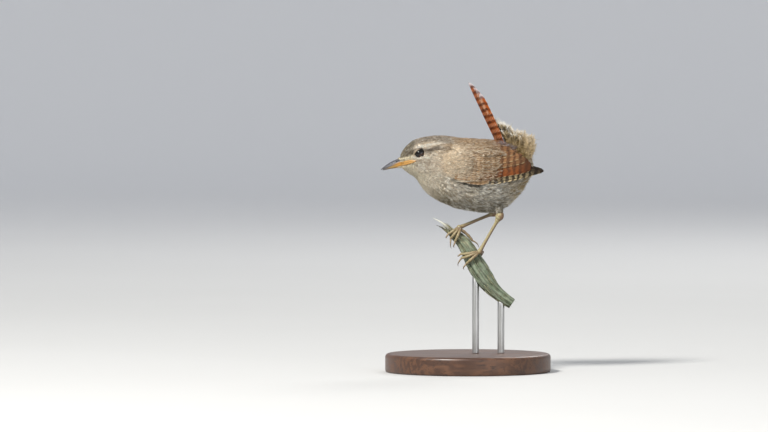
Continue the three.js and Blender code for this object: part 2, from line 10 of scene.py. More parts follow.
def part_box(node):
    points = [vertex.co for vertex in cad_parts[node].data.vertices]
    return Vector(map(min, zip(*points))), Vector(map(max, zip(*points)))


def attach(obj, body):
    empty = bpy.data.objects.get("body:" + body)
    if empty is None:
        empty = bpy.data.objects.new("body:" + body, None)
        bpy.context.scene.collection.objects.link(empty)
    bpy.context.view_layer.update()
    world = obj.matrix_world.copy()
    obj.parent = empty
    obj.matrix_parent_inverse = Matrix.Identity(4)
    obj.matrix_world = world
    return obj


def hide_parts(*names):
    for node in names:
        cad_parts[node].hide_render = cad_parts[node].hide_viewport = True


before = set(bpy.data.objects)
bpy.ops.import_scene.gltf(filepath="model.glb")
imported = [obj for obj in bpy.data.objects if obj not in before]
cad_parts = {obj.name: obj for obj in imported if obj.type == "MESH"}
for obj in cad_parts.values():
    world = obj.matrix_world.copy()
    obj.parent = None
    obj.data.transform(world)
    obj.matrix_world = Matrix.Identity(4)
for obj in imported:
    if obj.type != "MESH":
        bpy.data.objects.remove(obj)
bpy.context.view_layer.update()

# A wren on a broken stem, on a small display stand. Shapes are worked out in millimetres and
# written to the meshes in metres. The bird faces -X, its left side faces -Y.
MM = 0.001
VIEW_CENTRE = (-36.5, 0.0, 67.8)  # what the middle of the picture shows
VIEW_WIDTH = 333.9  # of the picture, at the bird
CAMERA_AWAY = 3000.0
CAMERA_RISE = 2.0  # degrees
SENSOR = 36.0
SIDES = (("left", False), ("right", True))  # and whether what is built for the left is mirrored


# Colour as it is seen on a screen, to the renderer's linear numbers
def seen(r, g, b):
    c = np.array([r, g, b], float) / 255
    return np.where(c <= 0.04045, c / 12.92, ((c + 0.055) / 1.055) ** 2.4)


CROWN = seen(158, 145, 128)
BROW = seen(255, 250, 240)
EYE_STRIPE = seen(116, 102, 86)
CHEEK_PALE = seen(254, 244, 228)
CHEEK_DARK = seen(180, 160, 134)
LORES = seen(228, 218, 192)
THROAT = seen(224, 214, 190)
BREAST = seen(246, 234, 214)
NECK_SIDE = seen(222, 204, 178)
MANTLE = seen(168, 142, 110)
MANTLE_BAR = seen(126, 102, 76)
RUMP = seen(158, 116, 80)
BELLY = seen(218, 206, 180)
FLANK_DARK = seen(84, 76, 60)
VENT = seen(192, 162, 102)
COVERT = seen(144, 117, 86)
COVERT_DARK = seen(88, 66, 46)
COVERT_SPOT = seen(240, 226, 202)
TERTIAL = seen(122, 88, 58)
RUFOUS = seen(134, 72, 32)
RUFOUS_DARK = seen(66, 40, 26)
WEB_BUFF = seen(212, 190, 146)
WEB_DARK = seen(40, 30, 22)
TAIL = seen(164, 78, 16)
TAIL_DARK = seen(74, 30, 12)
TAIL_EDGE = seen(222, 196, 166)
DOWN_WHITE = seen(250, 246, 236)
# blue-grey of the down at the tail's foot, partly a painted sheen
DOWN_GREY_AND_SHEEN = seen(168, 166, 174)
GAPE = seen(178, 128, 54)
GAPE_CORNER = seen(150, 112, 70)
FOREHEAD = seen(70, 62, 38)
NOSTRIL = seen(20, 14, 10)
PUPIL, IRIS = seen(12, 9, 8), seen(54, 34, 22)
LID_DARK, LID_PALE, LID_RIM = seen(86, 74, 60), seen(132, 118, 98), seen(52, 40, 32)


# Number helpers
def along(rows, x, column=1):
    rows = np.asarray(rows, float)
    return np.interp(x, rows[:, 0], rows[:, column])


def ease(low, high, x):
    t = np.clip((np.asarray(x, float) - low) / (high - low), 0, 1)
    return t * t * (3 - 2 * t)


def unit(v):
    v = np.asarray(v, float)
    return v / np.maximum(np.linalg.norm(v, axis=-1, keepdims=True), 1e-9)


def mix(a, b, share):
    share = np.asarray(share, float)
    if share.ndim:
        share = share[..., None]
    return a * (1 - share) + b * share


def painted(colour, *layers):
    """Lays paints over a colour by their shares. A list multiplies what lies below it."""
    for paint, share in layers:
        colour = mix(colour, colour * paint if isinstance(paint, list) else paint, share)
    return colour


def turns_of(sides):
    """Angles of evenly spaced points, once round."""
    return 2 * math.pi * np.arange(sides) / sides


def distances(line):
    """How far along a line each of its points lies."""
    steps = np.linalg.norm(np.diff(line, axis=0), axis=1)
    return np.concatenate([[0], np.cumsum(steps)])


def padded_rows(rows):
    """Rows with one more at each end, for a curve that runs through the first and the last."""
    rows = np.asarray(rows, float)
    return np.vstack([2 * rows[0] - rows[1], rows, 2 * rows[-1] - rows[-2]])


def curve_point(padded, i, t):
    a, b, c, d = padded[i : i + 4]
    most = 2 * b + (c - a) * t + (2 * a - 5 * b + 4 * c - d) * t**2
    return 0.5 * (most + (3 * b - a - 3 * c + d) * t**3)


def catmull(points, steps):
    """Points along a smooth curve through the given ones, evenly spaced."""
    padded = padded_rows(points)
    shares = np.linspace(0, 1, 24, endpoint=False)
    fine = [curve_point(padded, i, t) for i in range(len(points) - 1) for t in shares]
    fine = np.array(fine + [padded[-2]])
    far = distances(fine)
    wanted = np.linspace(0, far[-1], steps + 1)
    return np.stack([np.interp(wanted, far, fine[:, k]) for k in range(3)], axis=1)


def catmull_rows(rows, steps):
    """The same smooth curve for rows of any length, read at even shares."""
    padded = padded_rows(rows)
    out = []
    for share in np.linspace(0, len(rows) - 1, steps + 1):
        i = min(int(share), len(rows) - 2)
        out.append(curve_point(padded, i, share - i))
    return np.array(out)


def noise3(p, scale, seed=0):
    """Smooth noise from 0 to 1 at points in millimetres: waves that don't repeat in step."""
    p = np.asarray(p, float) * scale
    total = 0
    rng = default_rng(seed)
    for k in range(5):
        turn = rng.normal(size=(3, 3))
        phase = rng.uniform(0, 6.28, 3)
        w = p @ turn.T * (1 + 0.35 * k) + phase
        total = total + np.sin(w[..., 0] + 1.7 * np.sin(w[..., 1])) * np.cos(w[..., 2])
    return 0.5 + 0.5 * np.tanh(total * 0.75)


# Meshes from arrays
def new_object(name, verts, faces, material, body="root"):
    """An object from vertices in millimetres and faces that are one array, or a list of arrays
    with a fixed number of corners each."""
    groups = faces if isinstance(faces, list) else [faces]
    groups = [np.asarray(g, np.int32) for g in groups if len(g)]
    mesh = bpy.data.meshes.new(name)
    verts = np.asarray(verts, np.float32) * MM
    mesh.vertices.add(len(verts))
    mesh.vertices.foreach_set("co", verts.ravel())
    corners = np.concatenate([g.ravel() for g in groups])
    sizes = np.concatenate([np.full(len(g), g.shape[1], np.int32) for g in groups])
    mesh.loops.add(len(corners))
    mesh.loops.foreach_set("vertex_index", corners)
    mesh.polygons.add(len(sizes))
    starts = np.concatenate([[0], np.cumsum(sizes)[:-1]]).astype(np.int32)
    mesh.polygons.foreach_set("loop_start", starts)
    mesh.polygons.foreach_set("use_smooth", np.full(len(sizes), True))
    mesh.update(calc_edges=True)
    mesh.validate()
    mesh.materials.append(material)
    made = bpy.data.objects.new(name, mesh)
    bpy.context.scene.collection.objects.link(made)
    if body:
        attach(made, body)
    return made


def vertex_places(mesh):
    """A mesh's vertices in millimetres."""
    co = np.zeros(len(mesh.vertices) * 3, np.float32)
    mesh.vertices.foreach_get("co", co)
    return co.reshape(-1, 3) / MM


def smooth_faces(mesh):
    for face in mesh.polygons:
        face.use_smooth = True


def keep_result(holder):
    """Makes what an object's modifiers give its own plain mesh."""
    bpy.context.view_layer.update()
    result = holder.evaluated_get(bpy.context.evaluated_depsgraph_get())
    plain = bpy.data.meshes.new_from_object(result)
    holder.modifiers.clear()
    holder.data = plain


def set_colour(made, name, colours):
    layer = made.data.attributes.new(name, "FLOAT_COLOR", "POINT")
    rgba = np.ones((len(colours), 4), np.float32)
    rgba[:, :3] = np.clip(colours, 0, 1)
    layer.data.foreach_set("color", rgba.ravel())


def set_vector(made, name, values):
    layer = made.data.attributes.new(name, "FLOAT_VECTOR", "POINT")
    layer.data.foreach_set("vector", np.asarray(values, np.float32).ravel())


def set_uv(made, name, places):
    layer = made.data.uv_layers.new(name=name)
    corner = np.zeros(len(made.data.loops), np.int32)
    made.data.loops.foreach_get("vertex_index", corner)
    layer.data.foreach_set("uv", np.asarray(places, np.float32)[corner].ravel())


def ring_faces(rings, sides, closed=True, cap_start=True, cap_end=True):
    """Quads over rings of points, and the two end faces."""
    i, j = np.meshgrid(np.arange(rings - 1), np.arange(sides if closed else sides - 1), indexing="ij")
    k = (j + 1) % sides
    quads = np.stack([i * sides + j, i * sides + k, (i + 1) * sides + k, (i + 1) * sides + j], axis=-1)
    groups = [quads.reshape(-1, 4)]
    ring = np.arange(sides)
    if cap_start:
        groups.append(ring[::-1][None, :])
    if cap_end:
        groups.append((ring + (rings - 1) * sides)[None, :])
    return groups


def strand_faces(rings, sides):
    """Faces of a closed strand: rings of points, then one point at its tip."""
    j = np.arange(sides)
    last = (rings - 1) * sides
    fan = np.stack([last + j, last + (j + 1) % sides, np.full(sides, rings * sides)], axis=1)
    return ring_faces(rings, sides, cap_end=False) + [fan]


def many_strands(count, rings, sides):
    """Faces of strands whose vertices lie one strand after another."""
    first = (np.arange(count) * (rings * sides + 1))[:, None, None]
    return [(g[None] + first).reshape(-1, g.shape[1]) for g in strand_faces(rings, sides)]


def outward(made):
    work = bmesh.new()
    work.from_mesh(made.data)
    bmesh.ops.recalc_face_normals(work, faces=work.faces)
    work.to_mesh(made.data)
    work.free()
    made.data.update()


def joined(parts):
    """Several (verts, faces) pieces as one pair. Faces are lists of arrays."""
    verts, groups, first = [], {}, 0
    for v, f in parts:
        for g in f if isinstance(f, list) else [f]:
            if len(g):
                g = np.asarray(g)
                groups.setdefault(g.shape[1], []).append(g + first)
        verts.append(v)
        first += len(v)
    return np.vstack(verts), [np.vstack(g) for g in groups.values()]


def volume(verts, faces):
    total = 0.0
    for g in faces:
        a = verts[g[:, 0]]
        for k in range(1, g.shape[1] - 1):
            total += np.einsum("ij,ij->", a, np.cross(verts[g[:, k]], verts[g[:, k + 1]]))
    return total


class Pile:
    """Closed parts gathered into one object, with what each vertex carries: its colour (tint),
    its place on its feather (vane) and its place on the unwrap (bake)."""

    def __init__(self):
        self.parts, self.tints, self.vanes, self.bakes = [], [], [], []

    def add(self, verts, faces, tint, vane=None, bake=None):
        verts = np.asarray(verts, float)
        faces = [np.asarray(g) for g in (faces if isinstance(faces, list) else [faces]) if len(g)]
        if volume(verts - verts.mean(axis=0), faces) < 0:
            faces = [g[:, ::-1] for g in faces]
        self.parts.append((verts, faces))
        self.tints.append(np.broadcast_to(np.asarray(tint, float), (len(verts), 3)))
        self.vanes.append(np.zeros((len(verts), 3)) if vane is None else vane)
        if bake is not None:
            self.bakes.append(bake)

    def build(self, name, material, slot, replaces=(), mirror=False):
        verts, faces = joined(self.parts)
        if mirror:
            verts = verts * [1, -1, 1]
            faces = [g[:, ::-1] for g in faces]
        made = new_object(name, verts, faces, material)
        set_colour(made, "tint", np.vstack(self.tints))
        set_vector(made, "vane", np.vstack(self.vanes))
        if self.bakes:
            set_uv(made, "OFBake", np.vstack(self.bakes))
        if replaces:
            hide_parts(*replaces)


# Materials
class NodeTree:
    """Short calls to add nodes, with their inputs by name or number and their settings."""

    def add(self, kind, inputs=(), **settings):
        node = self.tree.nodes.new(kind)
        for key, value in settings.items():
            setattr(node, key, value)
        for key, value in dict(inputs).items():
            self.link(value, node.inputs[key])
        return node

    def link(self, value, socket):
        if isinstance(value, bpy.types.NodeSocket):
            self.tree.links.new(value, socket)
        elif isinstance(value, (tuple, list, np.ndarray)) and socket.type == "RGBA":
            socket.default_value = (*value[:3], 1)
        else:
            socket.default_value = value


class Nodes(NodeTree):
    """The nodes of a material."""

    def __init__(self, name):
        self.material = bpy.data.materials.new(name)
        self.material.use_nodes = True
        self.tree = self.material.node_tree
        self.shader = self.tree.nodes["Principled BSDF"]

    def math(self, operation, a, b=0.0, c=0.0):
        return self.add("ShaderNodeMath", {0: a, 1: b, 2: c}, operation=operation).outputs[0]

    def attribute(self, name):
        return self.add("ShaderNodeAttribute", attribute_name=name)

    def tint(self):
        return self.attribute("tint").outputs["Color"]

    def object_place(self):
        return self.add("ShaderNodeTexCoord").outputs["Object"]

    def noise(self, scale, detail=3.0, vector=None, stretch=None):
        place = vector or self.object_place()
        if stretch:
            place = self.add("ShaderNodeMapping", {"Vector": place, "Scale": stretch}).outputs[0]
        inputs = {"Vector": place, "Scale": scale, "Detail": detail, "Roughness": 0.55}
        return self.add("ShaderNodeTexNoise", inputs).outputs["Fac"]

    def ramp(self, value, low, high, start=0.0, end=1.0):
        inputs = {"Value": value, "From Min": low, "From Max": high, "To Min": start, "To Max": end}
        return self.add("ShaderNodeMapRange", inputs, interpolation_type="SMOOTHSTEP").outputs[0]

    def mix(self, a, b, share):
        return self.add("ShaderNodeMix", {"Factor": share, 6: a, 7: b}, data_type="RGBA").outputs[2]

    def finish(self, colour, roughness, bump, bump_strength, bump_size, **constants):
        self.link(colour, self.shader.inputs["Base Color"])
        self.link(roughness, self.shader.inputs["Roughness"])
        for key, value in constants.items():
            self.shader.inputs[key.replace("_", " ")].default_value = value
        inputs = {"Strength": bump_strength, "Distance": bump_size, "Height": bump}
        self.link(self.add("ShaderNodeBump", inputs).outputs[0], self.shader.inputs["Normal"])
        return self.material


def down_material():
    """Small body feathers and the skin below them: colour from the markings, fine strands."""
    n = Nodes("body_feather")
    tint = n.tint()
    strand = n.noise(2600.0, 2.0)
    broad = n.noise(420.0, 3.0)
    colour = n.mix(tint, n.mix(tint, (0.0, 0.0, 0.0), 0.22), n.ramp(strand, 0.35, 0.75, 0.0, 0.8))
    colour = n.mix(colour, (1.0, 0.96, 0.88), n.ramp(broad, 0.6, 0.8, 0.0, 0.12))
    return n.finish(colour, 0.82, strand, 0.35, 0.00012, Specular_IOR_Level=0.25)


def vane_material(
    name, bar, edge, shaft, pitch, bar_width=0.4, strength=0.8, edge_share=0.75, edge_side=0.0,
    edge_strength=0.85, sway=2.4,
):
    """Flight feather: cross bars at a pitch in millimetres over its own tint, a pale edge
    between the bars, a shaft and barbs. The attribute vane holds how far across a place is
    (-1 to 1), how far along the bars' pitch, and how far from the tip."""
    n = Nodes(name)
    split = n.add("ShaderNodeSeparateXYZ", {0: n.attribute("vane").outputs["Vector"]}).outputs
    across, run = split[0], split[1]
    tint = n.tint()
    wobble = n.noise(380.0, 3.0)
    side = n.math("ABSOLUTE", across)
    slant = n.math("MULTIPLY_ADD", side, 0.5, n.math("MULTIPLY_ADD", wobble, sway, run))
    wave = n.math("SINE", n.math("MULTIPLY", slant, 2 * math.pi / pitch))
    bars = n.ramp(wave, 1 - 2 * bar_width - 0.5, 1 - 2 * bar_width + 0.5)
    fade = n.ramp(n.noise(800.0, 2.0), 0.3, 0.7, 0.45 * strength, strength)
    colour = n.mix(tint, bar, n.math("MULTIPLY", bars, fade))
    edged = n.ramp(side, edge_share, min(edge_share + 0.25, 1.0))
    if edge_side:
        edged = n.math("MULTIPLY", edged, n.ramp(n.math("MULTIPLY", across, edge_side), 0.0, 0.1))
    between = n.ramp(bars, 0.1, 0.8, edge_strength, edge_strength * 0.15)
    colour = n.mix(colour, edge, n.math("MULTIPLY", edged, between))
    barb_turn = n.math("MULTIPLY_ADD", side, -2.2, run)
    barb = n.math("SINE", n.math("MULTIPLY", barb_turn, 26.0))
    barb = n.math("MULTIPLY_ADD", n.noise(3000.0, 1.0), 0.6, n.math("MULTIPLY", barb, 0.25))
    colour = n.mix(colour, n.mix(colour, (0, 0, 0), 0.4), n.ramp(barb, 0.2, 0.6, 0.0, 0.6))
    colour = n.mix(colour, shaft, n.ramp(side, 0.07, 0.03, 0.0, 0.7))
    return n.finish(colour, 0.7, barb, 0.4, 0.00008, Specular_IOR_Level=0.18)


def tinted_material(name, roughness, scale, bump=0.3, bump_size=0.00008, coat=0.0, specular=0.5, spread=0.3):
    """Horn and scaly skin: colour from the piece's own attribute, broken up by fine noise."""
    n = Nodes(name)
    tint = n.tint()
    fine = n.noise(scale, 4.0)
    colour = n.mix(tint, n.mix(tint, (0.02, 0.01, 0.005), spread), n.ramp(fine, 0.45, 0.8))
    return n.finish(
        colour, n.ramp(fine, 0.2, 0.8, roughness * 0.85, roughness * 1.15), fine, bump, bump_size,
        Coat_Weight=coat, Coat_Roughness=0.12, Specular_IOR_Level=specular,
    )


# Surfaces that feathers grow on
EVEN_SPREAD = 1.2207440846  # multiples of its inverse powers fill a space evenly
BAKE_EDGE, BAKE_PATCH = 0.02, 0.003  # empty border of the unwrap, and a tuft's patch on it


class Surface:
    """A smooth surface on a grid of points, read at shares of its length (s, from the bill
    side to the tail side) and of its breadth (t, round the form or across it)."""

    def __init__(self, points, round_form=True):
        self.points = points
        self.round_form = round_form
        rows, columns = points.shape[:2]
        self.rows, self.columns = rows, columns
        back = np.gradient(points, axis=0) * (rows - 1)
        if round_form:
            turn = (np.roll(points, -1, 1) - np.roll(points, 1, 1)) / 2 * columns
        else:
            turn = np.gradient(points, axis=1) * (columns - 1)
        self.back, self.turn = back, turn
        self.normal = unit(np.cross(back, turn))
        self.area = np.linalg.norm(np.cross(back, turn), axis=-1)

    def read(self, grid, s, t):
        a = np.clip(s, 0, 1) * (self.rows - 1)
        i = np.minimum(a.astype(int), self.rows - 2)
        fa = (a - i)[..., None]
        if self.round_form:
            b = (t % 1.0) * self.columns
            j = b.astype(int) % self.columns
            k = (j + 1) % self.columns
            fb = (b - np.floor(b))[..., None]
        else:
            b = np.clip(t, 0, 1) * (self.columns - 1)
            j = np.minimum(b.astype(int), self.columns - 2)
            k = j + 1
            fb = (b - j)[..., None]
        g = grid if grid.ndim == 3 else grid[..., None]
        value = (
            (g[i, j] * (1 - fb) + g[i, k] * fb) * (1 - fa) + (g[i + 1, j] * (1 - fb) + g[i + 1, k] * fb) * fa
        )
        return value if grid.ndim == 3 else value[..., 0]

    def scatter(self, density, most, s_range=(0, 1)):
        """Even, irregular places on the surface, with density(points) per square mm."""
        n = np.arange(1, most + 1)
        first, second, third = ((0.5 + n / EVEN_SPREAD**k) % 1 for k in (1, 2, 3))
        s, t = s_range[0] + (s_range[1] - s_range[0]) * first, second
        wanted = density(self.read(self.points, s, t)) * self.read(self.area, s, t)
        wanted = wanted * (s_range[1] - s_range[0]) / most
        keep = third < wanted
        return s[keep], t[keep]


def feathers(
    surface, s, t, length, width, height, lean=0.0, sink=0.35, thick=0.12, cup=0.12, rings=4, sides=4,
    hook=0.0,
):
    """Small closed vanes that lie along a surface. Each starts sunk below it, rises fast and
    then lies flat at its height; lean turns it from straight back, in degrees; hook lifts its
    tip. Returns vertices, faces, each vertex's share across and along, and the tips' places."""
    count = len(s)

    def full(value):
        return np.broadcast_to(np.asarray(value, float), (count,))

    length, width, height, lean, hook = map(full, (length, width, height, lean, hook))
    turn = np.radians(lean)
    back = surface.read(surface.back, s, t)
    across = surface.read(surface.turn, s, t)
    step_s = length * np.cos(turn) / np.maximum(np.linalg.norm(back, axis=1), 3.0)
    step_t = length * np.sin(turn) / np.maximum(np.linalg.norm(across, axis=1), 3.0)
    shares = 1 - (1 - np.linspace(0, 1, rings + 1)) ** 1.3
    if sides == 3:
        outline = np.interp(shares, [0, 0.3, 0.7, 1], [0.7, 1.0, 0.62, 0.1])
    else:
        outline = np.interp(shares, [0, 0.25, 0.6, 0.85, 1], [0.45, 0.85, 1.0, 0.75, 0.2])
    places, ups = [], []
    for share in shares:
        past = np.maximum(s + step_s * share - 1, 0)
        at_s, at_t = s + step_s * share, t + step_t * share
        up = surface.read(surface.normal, at_s, at_t)
        p = surface.read(surface.points, at_s, at_t)
        p = p + surface.read(surface.back, at_s, at_t) * past[:, None]
        rise = -sink + (height + sink) * (1 - (1 - share) ** 1.9) + hook * share**4
        places.append(p + up * rise[:, None])
        ups.append(up)
    verts, u, v = [], [], []
    for i, share in enumerate(shares[:-1]):
        ahead = places[i + 1] - places[max(i - 1, 0)]
        side = unit(np.cross(ups[i], ahead))
        half = (width / 2 * outline[i])[:, None]
        top = places[i] + ups[i] * (thick / 2)
        low = places[i] - ups[i] * (thick / 2)
        drop = ups[i] * (width * cup * outline[i])[:, None]
        if sides == 4:
            ring = [places[i] - side * half - drop, low, places[i] + side * half - drop, top]
            us = [-1, 0, 1, 0]
        else:
            ring = [low - side * half, low + side * half, top + ups[i] * thick]
            us = [-1, 1, 0]
        verts += ring
        u += us
        v += [share] * sides
    verts = np.stack(verts + [places[-1]], axis=1)
    u.append(0)
    v.append(1)
    faces = many_strands(count, rings, sides)
    return verts.reshape(-1, 3), faces, np.tile(u, count), np.tile(v, count), places[-2]


def bake_places(s, t, u, v, s_range, t_range, per):
    """Each tuft as a small patch at its root's place on the unwrapped surface."""

    def spread(share, limits):
        place = BAKE_EDGE + (1 - 2 * BAKE_EDGE) * (share - limits[0]) / (limits[1] - limits[0])
        return np.repeat(np.clip(place, 0.005, 0.995), per)

    along_body = spread(s, s_range) + (v - 0.5) * BAKE_PATCH
    return np.stack([along_body, spread(t, t_range) + u * BAKE_PATCH / 2], axis=1)


# The body's form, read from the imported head, neck and torso
def node_arrays(*names):
    verts, tris, first = [], [], 0
    for name in names:
        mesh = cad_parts[name].data
        mesh.calc_loop_triangles()
        tri = np.zeros(len(mesh.loop_triangles) * 3, np.int32)
        mesh.loop_triangles.foreach_get("vertices", tri)
        verts.append(vertex_places(mesh))
        tris.append(tri.reshape(-1, 3) + first)
        first += len(mesh.vertices)
    return np.vstack(verts), np.vstack(tris)


def blurred(grid, sigma_rows, sigma_columns):
    def kernel(sigma):
        reach = int(3 * sigma) + 1
        k = np.exp(-0.5 * (np.arange(-reach, reach + 1) / sigma) ** 2)
        return k / k.sum(), reach

    k, reach = kernel(sigma_rows)
    padded = np.pad(grid, ((reach, reach), (0, 0)), mode="edge")
    grid = sum(w * padded[i : i + grid.shape[0]] for i, w in enumerate(k))
    k, reach = kernel(sigma_columns)
    return sum(w * np.roll(grid, i - reach, axis=1) for i, w in enumerate(k))


def body_grid():
    """Outer surface of head, neck and torso as radii from a middle line, by station and turn."""
    rows, columns = 150, 144
    away, least = 60.0, 0.2
    verts, tris = node_arrays("head", "neck", "torso")
    tree = BVHTree.FromPolygons(verts.tolist(), tris.tolist())
    low, high = verts[:, 0].min() + 0.05, verts[:, 0].max() - 0.05
    share = (1 - np.cos(np.linspace(0, math.pi, rows))) / 2
    xs = low + (high - low) * share
    middle = np.interp(
        xs, [-29.6, -24, -15, -5, 5, 15, 22, 26.8], [91.1, 92.6, 91.2, 87.4, 85.6, 86.6, 88.6, 90.2]
    )
    turns = turns_of(columns)
    ways = np.stack([0 * turns, -np.sin(turns), -np.cos(turns)], axis=1)
    radius = np.zeros((rows, columns))
    for i, (x, z) in enumerate(zip(xs, middle)):
        for j, way in enumerate(ways):
            start = Vector((x, 0, z)) + Vector(way) * away
            hit = tree.ray_cast(start, Vector(-way))
            radius[i, j] = least if hit[3] is None else max(away - hit[3], least)
    wide = np.maximum.reduce([np.roll(radius, k, 0) for k in (-2, -1, 0, 1, 2)])
    inner = slice(6, rows - 6)
    radius[inner] = wide[inner]
    radius = blurred(radius, 1.3, 1.6)
    axis = np.stack([xs, 0 * xs, middle], axis=1)
    return axis, ways, radius


def coat_depth(x, top_share):
    """How deep the coat is over the skin, by place along the body and from belly to back."""
    under = along([[-30, 0.35], [-26, 0.6], [-18, 1.5], [-8, 2.6], [6, 3.0], [18, 2.6], [27, 1.6]], x)
    over = along([[-30, 0.3], [-26, 0.5], [-18, 0.9], [-8, 1.4], [6, 1.7], [20, 1.8], [27, 1.4]], x)
    return under + (over - under) * top_share


axis_line, turn_ways, outer_radius = body_grid()
top_share = (1 - np.cos(turns_of(len(turn_ways)))) / 2
depth_grid = coat_depth(axis_line[:, 0][:, None], top_share[None, :])
near_end = np.minimum(1, outer_radius / 6.0)
skin_radius = np.maximum(outer_radius - depth_grid * near_end, 0.15)
SKIN = Surface(axis_line[:, None] + turn_ways[None] * skin_radius[..., None])


# Marks: the colours of head and body by place, the same for skin and coat
def band(x, z, line, half, soft=0.5):
    """1 along a line of the side view, falling to 0 past its half width."""
    line = np.asarray(line, float)
    centre = np.interp(x, line[:, 0], line[:, 1])
    inside = ease(line[0, 0] - 1.2, line[0, 0], x) * (1 - ease(line[-1, 0], line[-1, 0] + 1.2, x))
    return inside * (1 - ease(half - soft, half + soft, np.abs(z - centre)))


# Lines of the side view, as places [x, z]
BODY_TOP = [
    [-30, 93], [-28, 96.2], [-24.6, 99.8], [-19.8, 101.8], [-14, 102.6], [4, 101.4], [16, 99.2], [24, 94.6]
]
BODY_LOW = [
    [-29, 89], [-26.5, 87.4], [-23.6, 85.4], [-20.8, 83.3], [-17.6, 78.8], [-12.9, 74.6], [-5, 71.4],
    [3, 69.9], [10, 69.8], [16, 73.4], [21, 79], [26, 86],
]
WING_EDGE = [[-7, 84.4], [-3, 82.8], [1, 81.4], [5, 81.0]]
CROWN_LINE = [[-30, 92.6], [-27, 95.6], [-24, 98.0], [-20, 99.7], [-14, 100.3], [-6, 99.0]]
BROW_LINE = [[-26.5, 96.2], [-22.5, 98.1], [-19.6, 98.5], [-16, 99.2], [-12, 99.7], [-8.5, 99.7]]
STRIPE_BEFORE_EYE = [[-27, 94.4], [-24.5, 95.6], [-23, 96.2]]
STRIPE_BEHIND_EYE = [[-19.2, 96.2], [-16, 96.9], [-13.0, 97.6]]
STRIPE_END = [[-13, 97.4], [-10, 97.4], [-7.5, 97.2]]
PALE_UNDER_EYE = [[-24.2, 93.6], [-21.4, 92.9], [-19, 93.6]]
GAPE_LINE = [[-30.2, 90.35], [-28.9, 90.5], [-27.2, 90.95], [-25.2, 91.5], [-23.4, 91.8], [-22.5, 91.95]]


